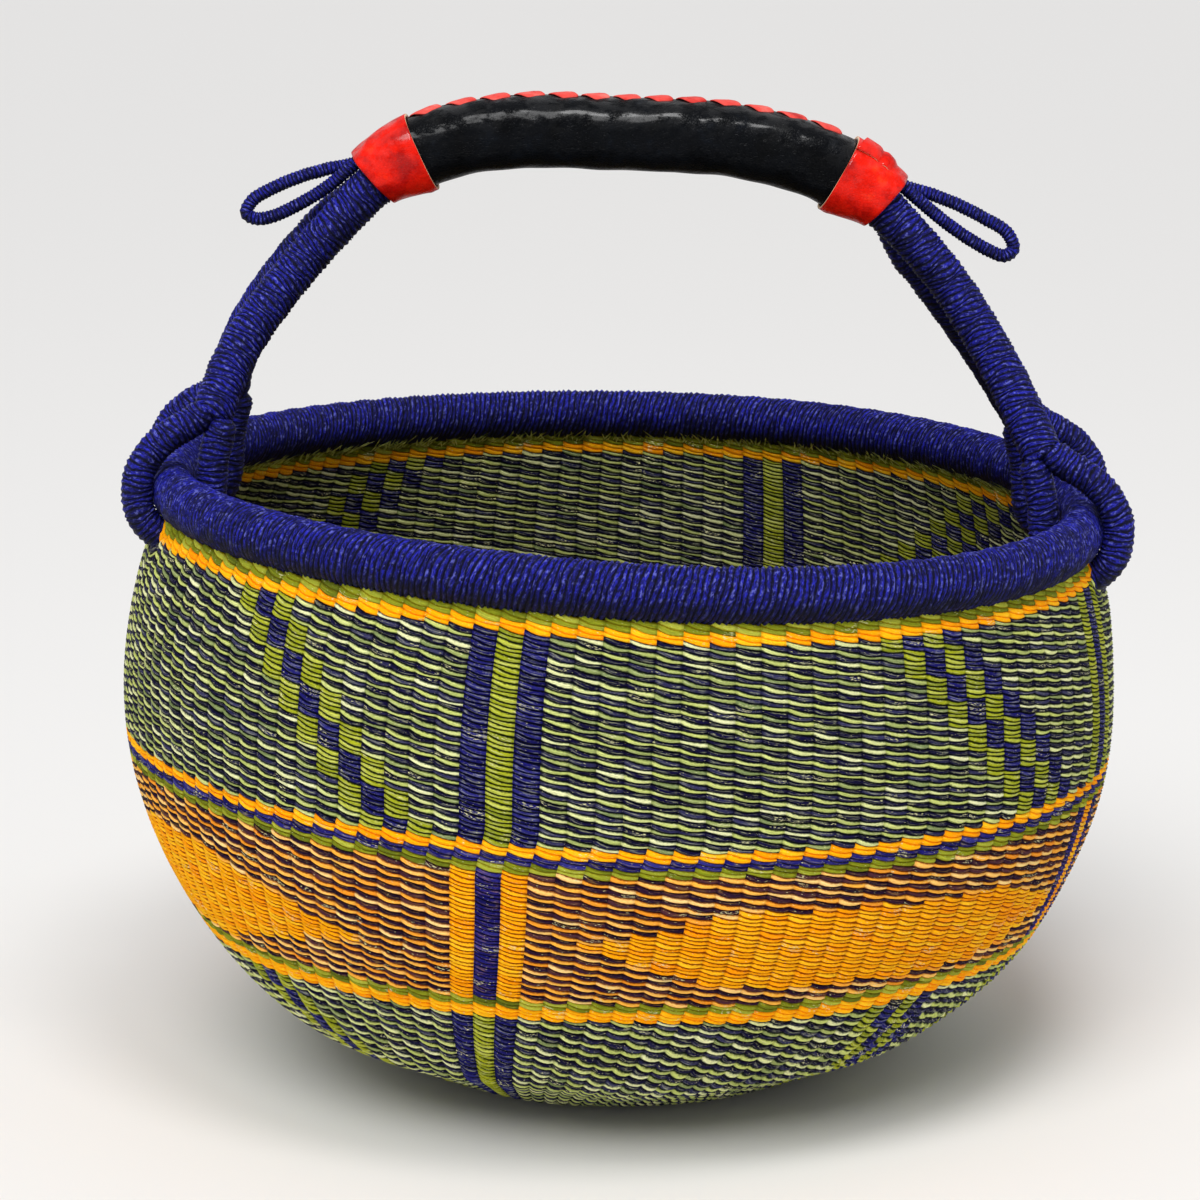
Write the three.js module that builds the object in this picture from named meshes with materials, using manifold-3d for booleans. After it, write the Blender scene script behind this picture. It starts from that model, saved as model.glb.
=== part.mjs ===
// Round market basket of twined grass, with a bound rim and a carrying handle.
//
// Two wound grass bundles make the handle. Each one forks at both ends, and the two legs of a fork
// close into a loop that goes over the rim, under it and in through the wall. A laced leather grip
// holds the two bundles together at the top, and a red collar closes each end of it.
//
// Millimetres, +Z up. The origin is the middle of the flat base, on the surface it stands on.
// The front faces -Y. The handle spans the basket from left, -X, to right, +X.

import * as THREE from 'three';
import { mergeVertices } from 'three/addons/utils/BufferGeometryUtils.js';
import Module from 'manifold-3d';

const wasm = await Module();
wasm.setup();

// Bowl
const bellyRadius = 197.5;
const bellyHeight = 180;
const wallTop = 221.6;
const baseRadius = 60;
const wallThickness = 5;
const bowlFullness = 2.5;
const bowlRoundness = 0.57;
const mouthDrawIn = 2;

// Heights at which one run of weft colours ends and the next begins
const lowLineFrom = 65.5;
const lowLineTo = 73.9;
const middleLineFrom = 127.3;
const middleLineTo = 137.4;
const topLineFrom = 213.6;

// Heights to which the bottom and the flare above it are woven before more stakes are added
const bottomTo = 15;
const flareTo = 37.9;

// How the handle pulls the mouth out of round, and how far its right end lies below its middle
const mouthPinch = 0.07;
const mouthShift = 3.5;
const mouthRightDrop = 7.3;
const mouthWarp = 2;
const pinchGrowth = 6;

// Rim
const rimCoreHalfWidth = 5.3;
const rimCoreHalfHeight = 7.4;
const rimBindingThickness = 2;

// Handle bundles, loops and the arch they follow
const handleInset = 32.5;
const handleRise = 121;
const handleFootAboveRim = 20.7;
const bundleRadius = 8;
const bundleSpacing = 0.5;
const bundleHalfWidthInGrip = 6.2;
const bundleHalfHeightInGrip = 9.5;
const bundleHalfWidthAtMouth = 7.2;
const bundleHalfHeightAtMouth = 8.2;
const backBundleDrop = 3;
const backBundleShift = -4;
const splitLength = 76;
const splitCurve = 1.4;
const loopRadius = 6;
const forkInset = 14;
const forkRise = 27;
const frontForkAngle = 76;
const backForkAngle = 102;

// Leather grip, its padding, lace and collars
const gripLength = 173;
const gripOffset = -1.5;
const gripHalfHeight = 14;
const gripHalfDepth = 15.9;
const leatherThickness = 1.3;
const paddingThickness = 2.5;
const seamGap = 0.8;
const laceTurns = 13;
const laceHalfWidth = 1.9;
const laceHalfThickness = 0.7;
const laceReach = 2.6;
const laceClearance = 0.35;
const laceMargin = 2.5;
const collarLength = 21;
const collarOverlap = 4;
const collarThickness = 1.2;
const collarMouthHalfHeight = 13;
const collarMouthHalfDepth = 17.2;
const collarMouthLift = 2.2;
const gripSquareness = 2.6;

// Tie loops
const tieRadius = 2.6;
const tieTuck = 7;
const tieSpacing = 3;
const tieHeight = 11;

// Gap between two pieces that seat on each other, the room that a sleeve's flat facets take besides,
// and facets round the bowl
const seatGap = 0.3;
const facetRoom = 0.4;
const bowlFacets = 48;

// The arch of the handle, as shares of its half span and its rise, from left to right
const archShape = [
  [-0.89, 0.33], [-0.68, 0.69], [-0.485, 0.926], [-0.28, 0.998], [0, 0.996],
  [0.285, 0.97], [0.52, 0.87], [0.735, 0.6], [0.885, 0.3],
];

// One leg of a fork, over the rim, under it and up inside, in radii of the leg: how far out from the
// middle of the rim's tube, and how far up. The ends lie inside the bundle, which trims them.
const loopRoute = [
  [-2.25, 5.5], [-1.25, 4.58], [0.25, 3.75], [1.53, 2.58], [2.3, 1.08],
  [2.37, -0.33], [1.97, -1.67], [0.92, -2.63], [-0.33, -2.83], [-1.53, -2.32],
  [-2.23, -1.1], [-2.4, 0.33], [-2.53, 1.83], [-2.87, 3.33], [-3.33, 4.83],
];

// Tie loops, in radii of their cord: how far out from the mouth of the collar along the handle, how far
// up from the handle's middle, and how far back. Both ends are tucked under the collar.
const leftTieRoute = [
  [0.58, 4.23, 1.15], [4.38, 6.38, 0.62], [8.42, 8.38, 0.15], [13.08, 9.96, 0],
  [15.96, 10.46, 0], [17.88, 9.69, -0.15], [17.27, 8, -0.31], [14.85, 6.54, -0.46],
  [11.54, 5.54, -0.54], [7.04, 4.62, -0.77], [2.38, 4.31, -1.15],
];
const rightTieRoute = [
  [0.38, 4.23, 1.15], [4.19, 6.08, 0.62], [8.46, 7.81, 0.15], [12.81, 9.04, 0],
  [16.81, 9.77, 0], [19.15, 8.69, -0.15], [18.85, 7, -0.31], [16.46, 6, -0.46],
  [13, 5.23, -0.54], [9.46, 4.73, -0.77], [3.85, 4.38, -1.15],
];

// Sizes that follow from the ones above
const rimRadius = bellyRadius - mouthDrawIn - wallThickness / 2;
const rimHeight = wallTop + seatGap + rimCoreHalfHeight;
const handleHalfSpan = bellyRadius - handleInset;

const material = (color, roughness) => new THREE.MeshStandardMaterial({ color, roughness, metalness: 0 });
const greenWeave = material(0x6f7a2c, 0.75);
const orangeWeave = material(0xe8920f, 0.75);
const lineWeave = material(0xf5a413, 0.75);
const navyGrass = material(0x1c1c86, 0.5);
const strawCore = material(0xb9a56b, 0.85);
const blackLeather = material(0x14171c, 0.4);
const redLeather = material(0xd51a10, 0.4);

// Solids and cuts

function toSolid(geometry) {
  const bare = geometry.clone();
  bare.deleteAttribute('normal');
  bare.deleteAttribute('uv');
  const merged = mergeVertices(bare, 1e-4);
  const mesh = new wasm.Mesh({
    numProp: 3,
    vertProperties: new Float32Array(merged.attributes.position.array),
    triVerts: new Uint32Array(merged.index.array),
  });
  return new wasm.Manifold(mesh);
}

function toGeometry(solid) {
  const mesh = solid.getMesh();
  const geometry = new THREE.BufferGeometry();
  geometry.setAttribute('position', new THREE.BufferAttribute(mesh.vertProperties, 3));
  geometry.setIndex(new THREE.BufferAttribute(mesh.triVerts, 1));
  geometry.computeVertexNormals();
  return geometry;
}

function cut(geometry, ...tools) {
  let solid = toSolid(geometry);
  for (const tool of tools) {
    solid = solid.subtract(toSolid(tool));
  }
  return toGeometry(solid);
}

// Turns every face round when the shell was built inside out
function facingOut(geometry) {
  const at = geometry.attributes.position;
  const index = geometry.index;
  const [a, b, c] = [new THREE.Vector3(), new THREE.Vector3(), new THREE.Vector3()];
  let volume = 0;
  for (let i = 0; i < index.count; i += 3) {
    a.fromBufferAttribute(at, index.getX(i));
    b.fromBufferAttribute(at, index.getX(i + 1));
    c.fromBufferAttribute(at, index.getX(i + 2));
    volume += a.dot(b.cross(c));
  }
  if (volume < 0) {
    for (let i = 0; i < index.count; i += 3) {
      const first = index.getX(i);
      index.setX(i, index.getX(i + 2));
      index.setX(i + 2, first);
    }
  }
  return geometry;
}

// Sweeps an outline of [side, up] points along a curve. `sideAt` gives the direction that the
// outline's side axis leans towards, and `outlineAt` the outline, at each share of the length.
// `overrun` carries both ends on, straight.
function sweep(curve, steps, sideAt, outlineAt, overrun = 0) {
  const vertices = [];
  const triangles = [];
  const count = outlineAt(0).length;
  for (let i = 0; i <= steps; i += 1) {
    const share = i / steps;
    const centre = curve.getPointAt(share);
    const tangent = curve.getTangentAt(share);
    if (i === 0 || i === steps) {
      centre.addScaledVector(tangent, i === 0 ? -overrun : overrun);
    }
    const side = sideAt(share).clone();
    side.addScaledVector(tangent, -side.dot(tangent)).normalize();
    const up = tangent.clone().cross(side);
    for (const [along, above] of outlineAt(share)) {
      const point = centre.clone().addScaledVector(side, along).addScaledVector(up, above);
      vertices.push(point.x, point.y, point.z);
    }
  }
  for (let i = 0; i < steps; i += 1) {
    for (let j = 0; j < count; j += 1) {
      const next = (j + 1) % count;
      const [a, b] = [i * count + j, i * count + next];
      triangles.push(a, b, b + count, a, b + count, a + count);
    }
  }
  for (const [ring, flip] of [[0, true], [steps, false]]) {
    const outline = outlineAt(ring / steps).map(([x, y]) => new THREE.Vector2(x, y));
    for (const [a, b, c] of THREE.ShapeUtils.triangulateShape(outline, [])) {
      const face = flip ? [c, b, a] : [a, b, c];
      triangles.push(...face.map((corner) => ring * count + corner));
    }
  }
  const geometry = new THREE.BufferGeometry();
  geometry.setAttribute('position', new THREE.Float32BufferAttribute(vertices, 3));
  geometry.setIndex(triangles);
  return facingOut(geometry);
}

// An oval outline; squareness 2 is an ellipse, and more is boxier
function oval(halfWidth, halfHeight, sides, squareness = 2, lift = 0) {
  const points = [];
  for (let i = 0; i < sides; i += 1) {
    const angle = (i + 0.5) * 2 * Math.PI / sides;
    const [c, s] = [Math.cos(angle), Math.sin(angle)];
    const x = Math.sign(c) * Math.abs(c) ** (2 / squareness);
    const y = Math.sign(s) * Math.abs(s) ** (2 / squareness);
    points.push([halfWidth * x, halfHeight * y + lift]);
  }
  return points;
}

// Bowl

function wallRadius(height) {
  if (height > bellyHeight) {
    const share = (height - bellyHeight) / (wallTop - bellyHeight);
    return bellyRadius - mouthDrawIn * share * share;
  }
  const below = 1 - height / bellyHeight;
  const spread = (1 - below ** bowlFullness) ** bowlRoundness;
  return baseRadius + (bellyRadius - baseRadius) * spread;
}

// The wall's outer point, its inner point square to it, and how steeply it rises there
function wallAt(height) {
  const step = 0.01;
  const low = Math.max(height - step, 0);
  const high = height + step;
  const run = new THREE.Vector2(wallRadius(high) - wallRadius(low), high - low).normalize();
  const outer = new THREE.Vector2(wallRadius(height), height);
  const inner = outer.clone().add(new THREE.Vector2(-run.y, run.x).multiplyScalar(wallThickness));
  return { outer, inner, rise: run.y };
}

// Pulls a round, level form into the oval, tilted and slightly warped mouth; the base stays as it is
function settle(geometry) {
  const at = geometry.attributes.position;
  for (let i = 0; i < at.count; i += 1) {
    const point = settled(at.getX(i), at.getY(i), at.getZ(i));
    at.setXYZ(i, point.x, point.y, point.z);
  }
  return geometry;
}

function settled(x, y, z) {
  const share = Math.max(z, 0) / rimHeight;
  const pull = Math.min(z / wallTop, 1) ** pinchGrowth;
  const tilt = -mouthRightDrop * (x / bellyRadius) * share;
  const warp = mouthWarp * 2 * x * y / bellyRadius ** 2 * Math.sqrt(share);
  return new THREE.Vector3(x * (1 - mouthPinch * pull) + mouthShift * pull, y, z + tilt + warp);
}

function revolve(profile) {
  const geometry = new THREE.LatheGeometry([...profile, profile[0]], bowlFacets);
  geometry.rotateX(Math.PI / 2);
  geometry.deleteAttribute('normal');
  geometry.deleteAttribute('uv');
  return facingOut(settle(mergeVertices(geometry, 1e-4)));
}

// One ring of the wall between two heights; `crowd` above 1 gathers its points near the bottom
function wallRing(from, to, steps, crowd = 1) {
  const outer = [];
  const inner = [];
  for (let i = 0; i <= steps; i += 1) {
    const section = wallAt(from + (to - from) * (i / steps) ** crowd);
    outer.push(section.outer);
    inner.unshift(section.inner);
  }
  return revolve([...outer, ...inner]);
}

const above = (height) => height + seatGap * wallAt(height).rise;

function baseDisc() {
  const edge = baseRadius - seatGap;
  return revolve([
    new THREE.Vector2(0, 0), new THREE.Vector2(edge, 0),
    new THREE.Vector2(edge, wallThickness), new THREE.Vector2(0, wallThickness),
  ]);
}

// Rim

function rimCore() {
  return revolve(oval(rimCoreHalfWidth, rimCoreHalfHeight, 8).map(([x, y]) => (
    new THREE.Vector2(rimRadius + x, rimHeight + y)
  )));
}

// The binding is open underneath, where the top edge of the wall comes up to the core
function rimBinding() {
  const sides = 8;
  const slot = wallThickness / 2 + 3 * seatGap;
  const down = -Math.PI / 2;
  const walk = (halfWidth, halfHeight) => {
    const turn = Math.asin(slot / halfWidth);
    const points = [];
    for (let i = 0; i <= sides; i += 1) {
      const angle = down + turn + (2 * Math.PI - 2 * turn) * i / sides;
      const [x, y] = [halfWidth * Math.cos(angle), halfHeight * Math.sin(angle)];
      points.push(new THREE.Vector2(rimRadius + x, rimHeight + y));
    }
    return points;
  };
  const room = seatGap + facetRoom;
  const [width, height] = [rimCoreHalfWidth + room, rimCoreHalfHeight + room];
  return revolve([
    ...walk(width + rimBindingThickness, height + rimBindingThickness),
    ...walk(width, height).reverse(),
  ]);
}

// Forks: where the rim's tube passes, which way is out, and the place where the bundle ends

function fork(angle) {
  const turn = THREE.MathUtils.degToRad(angle);
  const outward = new THREE.Vector3(Math.sin(turn), -Math.cos(turn), 0);
  const rim = settled(rimRadius * outward.x, rimRadius * outward.y, rimHeight);
  const foot = rim.clone().addScaledVector(outward, -forkInset);
  foot.z += forkRise;
  return { outward, rim, foot, along: new THREE.Vector3(-outward.y, outward.x, 0) };
}

const forks = {
  left_front: fork(-frontForkAngle),
  left_back: fork(-backForkAngle),
  right_front: fork(frontForkAngle),
  right_back: fork(backForkAngle),
};

function rimLoop({ outward, rim, along }, radius) {
  const points = loopRoute.map(([out, up]) => {
    const point = rim.clone().addScaledVector(outward, out * loopRadius);
    point.z += up * loopRadius;
    return point;
  });
  const route = new THREE.CatmullRomCurve3(points, false, 'centripetal');
  return sweep(route, 18, () => along, () => oval(radius, radius, 8));
}

// Handle: the middle line of the arch, and the two bundles beside it

const middleOf = (a, b) => a.clone().add(b).multiplyScalar(0.5);
const archLine = new THREE.CatmullRomCurve3([
  middleOf(forks.left_front.foot, forks.left_back.foot),
  ...archShape.map(([along, up]) => new THREE.Vector3(
    along * handleHalfSpan, 0, rimHeight + handleFootAboveRim + up * handleRise,
  )),
  middleOf(forks.right_front.foot, forks.right_back.foot),
], false, 'centripetal');
archLine.arcLengthDivisions = 800;
const archLength = archLine.getLength();
const gripMiddle = archLength / 2 + gripOffset;
const gripStart = gripMiddle - gripLength / 2;
const gripEnd = gripMiddle + gripLength / 2;

const smooth = (x) => THREE.MathUtils.smoothstep(x, 0, 1);
const backward = new THREE.Vector3(0, 1, 0);

// Half width and half height of a bundle, at a distance along the arch
function bundleSize(distance) {
  const intoGrip = Math.min(distance - gripStart, gripEnd - distance);
  const collared = smooth((intoGrip + collarLength) / collarLength);
  const free = smooth((-intoGrip - collarLength) / collarLength);
  const width = THREE.MathUtils.lerp(bundleHalfWidthAtMouth, bundleHalfWidthInGrip, collared);
  const height = THREE.MathUtils.lerp(bundleHalfHeightAtMouth, bundleHalfHeightInGrip, collared);
  return {
    halfWidth: THREE.MathUtils.lerp(width, bundleRadius, free),
    halfHeight: THREE.MathUtils.lerp(height, bundleRadius, free),
  };
}

class BundleLine extends THREE.Curve {
  constructor(back, leftFoot, rightFoot) {
    super();
    this.back = back;
    this.leftFoot = leftFoot;
    this.rightFoot = rightFoot;
    this.arcLengthDivisions = 400;
  }

  getPoint(share, target = new THREE.Vector3()) {
    const distance = share * archLength;
    target.copy(archLine.getPointAt(share));
    const beside = bundleSize(distance).halfWidth + bundleSpacing / 2;
    const toLeft = Math.max(0, 1 - distance / splitLength) ** splitCurve;
    const toRight = Math.max(0, 1 - (archLength - distance) / splitLength) ** splitCurve;
    const together = 1 - toLeft - toRight;
    target.y += this.back * beside * together;
    if (this.back > 0) {
      const left = smooth((gripStart - collarLength - distance) / collarLength) * together;
      const right = smooth((distance - gripEnd - collarLength) / collarLength) * together;
      target.x += backBundleShift * (left + right);
      target.z -= backBundleDrop * right;
    }
    target.addScaledVector(this.leftFoot.clone().sub(archLine.getPointAt(0)), toLeft);
    target.addScaledVector(this.rightFoot.clone().sub(archLine.getPointAt(1)), toRight);
    return target;
  }
}

const frontLine = new BundleLine(-1, forks.left_front.foot, forks.right_front.foot);
const backLine = new BundleLine(1, forks.left_back.foot, forks.right_back.foot);

function bundle(line, extra = 0) {
  return sweep(line, 42, () => backward, (share) => {
    const { halfWidth, halfHeight } = bundleSize(share * archLength);
    return oval(halfWidth + extra, halfHeight + extra, 10);
  }, extra);
}

// Grip: everything on it follows the part of the arch between two distances

class ArchStretch extends THREE.Curve {
  constructor(from, to) {
    super();
    this.from = from;
    this.to = to;
  }

  getPoint(share, target = new THREE.Vector3()) {
    const distance = this.from + (this.to - this.from) * share;
    return target.copy(archLine.getPointAt(distance / archLength));
  }
}

// A sleeve's outline, slit along the top by `slit` from side to side
function slitSleeve(halfDepth, halfHeight, thickness, slit, sides) {
  const start = (radius) => Math.PI / 2 + Math.asin(slit / 2 / radius);
  const walk = (depth, height) => {
    const points = [];
    const from = start(height);
    const turn = 3 * Math.PI - 2 * from;
    for (let i = 0; i <= sides; i += 1) {
      const angle = from + turn * i / sides;
      const [c, s] = [Math.cos(angle), Math.sin(angle)];
      const x = Math.sign(c) * Math.abs(c) ** (2 / gripSquareness);
      const y = Math.sign(s) * Math.abs(s) ** (2 / gripSquareness);
      points.push([depth * x, height * y]);
    }
    return points;
  };
  return [...walk(halfDepth, halfHeight), ...walk(halfDepth - thickness, halfHeight - thickness).reverse()];
}

const leatherInnerDepth = gripHalfDepth - leatherThickness;
const leatherInnerHeight = gripHalfHeight - leatherThickness;

class LaceLine extends THREE.Curve {
  constructor() {
    super();
    this.arcLengthDivisions = 2000;
    const margin = collarOverlap + laceMargin;
    this.run = new ArchStretch(gripStart + margin, gripEnd - margin);
  }

  frame(share) {
    const centre = this.run.getPoint(share);
    const ahead = this.run.getPoint(Math.min(share + 0.001, 1));
    const tangent = ahead.sub(this.run.getPoint(Math.max(share - 0.001, 0))).normalize();
    const up = tangent.clone().cross(backward).normalize();
    return { centre, tangent, up };
  }

  getPoint(share, target = new THREE.Vector3()) {
    const { centre, up } = this.frame(share);
    const turn = -Math.PI / 2 + share * laceTurns * 2 * Math.PI;
    const height = gripHalfHeight - leatherThickness / 2 + laceReach * Math.sin(turn);
    return target.copy(centre).addScaledVector(up, height).addScaledVector(backward, laceReach * Math.cos(turn));
  }
}

const laceLine = new LaceLine();
const laceSteps = laceTurns * 12;

function lace(extra = 0) {
  return sweep(laceLine, laceSteps, (share) => laceLine.frame(share).tangent, () => oval(
    laceHalfWidth + extra, laceHalfThickness + extra, 6,
  ));
}

// The least gap between one turn of the lace and the next, measured on points of its middle line
function laceGap() {
  const points = laceLine.getSpacedPoints(laceTurns * 24);
  let least = Infinity;
  for (let i = 0; i < points.length; i += 1) {
    for (let j = i + 12; j < points.length; j += 1) {
      least = Math.min(least, points[i].distanceTo(points[j]));
    }
  }
  return least - 2 * laceHalfThickness;
}

function leather() {
  const stretch = new ArchStretch(gripStart, gripEnd);
  const outline = slitSleeve(gripHalfDepth, gripHalfHeight, leatherThickness, seamGap, 12);
  return cut(sweep(stretch, 16, () => backward, () => outline), lace(laceClearance));
}

function padding() {
  const stretch = new ArchStretch(gripStart, gripEnd);
  const channel = 2 * (laceReach + laceHalfThickness + seatGap);
  const room = seatGap + facetRoom / 2;
  const outline = slitSleeve(leatherInnerDepth - room, leatherInnerHeight - room, paddingThickness, channel, 10);
  const sleeve = sweep(stretch, 16, () => backward, () => outline);
  return cut(sleeve, bundle(frontLine, seatGap), bundle(backLine, seatGap));
}

// A collar tapers from the end of the grip to its mouth, where it also holds the tie loop
function collar(from, to) {
  const stretch = new ArchStretch(from, to);
  const wrap = seatGap + facetRoom + collarThickness;
  const outline = (inset) => (share) => {
    const taper = Math.max(0, (share * collarLength - collarOverlap) / (collarLength - collarOverlap));
    const half = THREE.MathUtils.lerp(gripHalfHeight + wrap, collarMouthHalfHeight, taper);
    const deep = THREE.MathUtils.lerp(gripHalfDepth + wrap, collarMouthHalfDepth, taper);
    return oval(deep - inset, half - inset, 16, gripSquareness, collarMouthLift * taper);
  };
  const side = backward.clone().multiplyScalar(Math.sign(to - from));
  return cut(
    sweep(stretch, 5, () => side, outline(0)),
    sweep(stretch, 5, () => side, outline(collarThickness), 1),
  );
}

function tieLoop(mouth, direction, route) {
  const frameAt = (distance) => {
    const share = distance / archLength;
    const tangent = archLine.getTangentAt(share);
    return { centre: archLine.getPointAt(share), up: tangent.clone().cross(backward).normalize(), tangent };
  };
  const spot = (out, up, back) => {
    const frame = frameAt(mouth + Math.min(out, 0) * direction);
    return frame.centre.clone()
      .addScaledVector(frame.tangent, Math.max(out, 0) * direction)
      .addScaledVector(frame.up, up)
      .addScaledVector(backward, back);
  };
  const tucked = [tieTuck, tieTuck / 2];
  const points = [
    ...tucked.map((depth) => spot(-depth, tieHeight, tieSpacing)),
    ...route.map((step) => spot(...step.map((share) => share * tieRadius))),
    ...tucked.reverse().map((depth) => spot(-depth, tieHeight, -tieSpacing)),
  ];
  const line = new THREE.CatmullRomCurve3(points, false, 'centripetal');
  return sweep(line, 28, () => backward, () => oval(tieRadius, tieRadius, 8));
}

// Assembly

const group = new THREE.Group();

function add(name, geometry, look) {
  const mesh = new THREE.Mesh(geometry, look);
  mesh.name = name;
  group.add(mesh);
}

const bundleWithRoom = [bundle(frontLine, seatGap), bundle(backLine, seatGap)];
const passages = Object.values(forks).map((place) => rimLoop(place, loopRadius + seatGap));

add('base_weave', baseDisc(), greenWeave);
add('bottom_wall', wallRing(0, bottomTo, 5, 2), greenWeave);
add('flare_wall', wallRing(above(bottomTo), flareTo, 3), greenWeave);
add('lower_wall', wallRing(above(flareTo), lowLineFrom, 2), greenWeave);
add('low_line', wallRing(above(lowLineFrom), lowLineTo, 1), lineWeave);
add('middle_wall', wallRing(above(lowLineTo), middleLineFrom, 3), orangeWeave);
add('middle_line', wallRing(above(middleLineFrom), middleLineTo, 1), lineWeave);
add('upper_wall', cut(wallRing(above(middleLineTo), topLineFrom, 4), ...passages), greenWeave);
add('top_line', cut(wallRing(above(topLineFrom), wallTop, 1), ...passages), lineWeave);
add('rim_core', rimCore(), strawCore);
add('rim_binding', rimBinding(), navyGrass);
for (const [place, spot] of Object.entries(forks)) {
  add(`${place}_loop`, cut(rimLoop(spot, loopRadius), ...bundleWithRoom), navyGrass);
}
add('front_handle_bundle', bundle(frontLine), navyGrass);
add('back_handle_bundle', bundle(backLine), navyGrass);
add('grip_padding', padding(), strawCore);
add('grip_leather', leather(), blackLeather);
add('grip_lace', lace(), redLeather);
add('left_collar', collar(gripStart + collarOverlap, gripStart + collarOverlap - collarLength), redLeather);
add('right_collar', collar(gripEnd - collarOverlap, gripEnd - collarOverlap + collarLength), redLeather);
add('left_tie_loop', tieLoop(gripStart + collarOverlap - collarLength, -1, leftTieRoute), navyGrass);
add('right_tie_loop', tieLoop(gripEnd - collarOverlap + collarLength, 1, rightTieRoute), navyGrass);

console.log(`grip_lace: least gap to itself ${laceGap().toFixed(2)} mm`);

export default group;
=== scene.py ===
# %% [markdown]
# # A round basket of twined grass
# The real object is a market basket. Stiff grass stakes run up the bowl, and pairs of dyed strands are
# twined round them, row by row. The rim is wound with navy grass, and a forked handle with a laced
# leather grip is looped through the wall. This lesson dresses a measured model of the basket: every
# piece is modelled in the model's own frame, in metres, so each one goes exactly where the real one is.

# %% Load the measured model
import math

import bpy
import numpy as np
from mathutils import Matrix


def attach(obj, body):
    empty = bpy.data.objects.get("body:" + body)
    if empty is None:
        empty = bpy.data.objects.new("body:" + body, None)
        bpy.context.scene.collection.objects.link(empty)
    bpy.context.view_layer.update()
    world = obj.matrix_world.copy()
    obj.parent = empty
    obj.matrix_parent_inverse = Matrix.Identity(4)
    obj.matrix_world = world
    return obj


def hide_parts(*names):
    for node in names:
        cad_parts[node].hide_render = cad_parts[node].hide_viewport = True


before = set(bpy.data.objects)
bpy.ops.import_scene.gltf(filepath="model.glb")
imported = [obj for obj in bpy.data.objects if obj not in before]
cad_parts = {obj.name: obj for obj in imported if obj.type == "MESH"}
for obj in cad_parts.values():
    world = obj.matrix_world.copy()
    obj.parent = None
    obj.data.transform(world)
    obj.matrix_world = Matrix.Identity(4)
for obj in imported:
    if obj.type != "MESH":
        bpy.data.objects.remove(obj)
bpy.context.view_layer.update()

MM = 0.001
print("measured nodes:", len(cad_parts))

# %% [markdown]
# ## Camera
# The camera stands where the photographer stood: almost 1.5 m in front of the basket, half a metre up,
# looking down by 12 degrees. A wide lens close by would frame the basket just as well, but it would
# swell the front of the bowl, so a long lens from further away keeps the shapes calm. The slight turn
# puts the basket a little right of the middle. The Standard view shows each colour as it is written.

# %% Place the camera
CAMERA_AWAY, CAMERA_HIGH = 1.480, 0.500
LOOK_DOWN, LOOK_LEFT = 12, 0.29  # degrees
SENSOR_WIDTH, LENS = 36, 113.9  # millimetres

bpy.ops.object.select_all(action="DESELECT")
bpy.ops.object.camera_add(
    location=(0, -CAMERA_AWAY, CAMERA_HIGH),
    rotation=(math.radians(90 - LOOK_DOWN), 0, math.radians(LOOK_LEFT)),
)
camera = bpy.context.object
camera.name = "camera"
camera.data.sensor_width = SENSOR_WIDTH
camera.data.lens = LENS
camera.data.clip_end = 100
bpy.context.scene.camera = camera
bpy.context.scene.view_settings.view_transform = "Standard"
print("camera at", tuple(round(value, 3) for value in camera.location))

# %% [markdown]
# ## Small helpers for modelling
# Most work in Blender is done on the object that is selected. These helpers deselect everything, pick a
# piece, name a new one, and move chosen points in edit mode, as one would by hand. They are short, so
# that each later step reads like a list of what a modeller does.


# %% Helpers for modelling
def deselect():
    bpy.ops.object.select_all(action="DESELECT")


def pick(*pieces):
    deselect()
    for piece in pieces:
        piece.select_set(True)
    bpy.context.view_layer.objects.active = pieces[0]


def named(name):
    piece = bpy.context.object
    piece.name = name
    piece.data.name = name
    return piece


def flat_grid(name, across, along, middle=(0.5, 0.5, 0)):
    """A flat grid 1 wide and 1 long, with that many faces across and along"""
    deselect()
    bpy.ops.mesh.primitive_grid_add(x_subdivisions=across, y_subdivisions=along, size=1, location=middle)
    bpy.ops.object.transform_apply(location=True, rotation=False, scale=False)
    return named(name)


def copy_of(piece, name):
    pick(piece)
    bpy.ops.object.duplicate(linked=False)
    return named(name)


def select_points(piece, chosen):
    """Goes into edit mode with only the points selected that pass the test"""
    pick(piece)
    bpy.ops.object.mode_set(mode="EDIT")
    bpy.ops.mesh.select_mode(type="VERT")
    bpy.ops.mesh.select_all(action="DESELECT")
    bpy.ops.object.mode_set(mode="OBJECT")
    for point in piece.data.vertices:
        point.select = bool(chosen(point.co))
    bpy.ops.object.mode_set(mode="EDIT")


def nudge(piece, chosen, offset):
    """Moves the points that pass the test"""
    select_points(piece, chosen)
    bpy.ops.transform.translate(value=offset)
    bpy.ops.object.mode_set(mode="OBJECT")


def sharp_border(piece):
    """Marks the open border as sharp, so that smooth shading stops there"""
    pick(piece)
    bpy.ops.object.mode_set(mode="EDIT")
    bpy.ops.mesh.select_mode(type="EDGE")
    bpy.ops.mesh.select_all(action="SELECT")
    bpy.ops.mesh.region_to_loop()
    bpy.ops.mesh.mark_sharp()
    bpy.ops.object.mode_set(mode="OBJECT")


def weld(piece, reach=2e-6):
    """Merges points that lie on each other, such as along a seam"""
    pick(piece)
    bpy.ops.object.mode_set(mode="EDIT")
    bpy.ops.mesh.select_mode(type="VERT")
    bpy.ops.mesh.select_all(action="SELECT")
    bpy.ops.mesh.remove_doubles(threshold=reach)
    bpy.ops.object.mode_set(mode="OBJECT")


def smooth_shading(piece):
    """Smooth faces; edges that were marked sharp stay crisp"""
    pick(piece)
    bpy.ops.object.shade_smooth()


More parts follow.
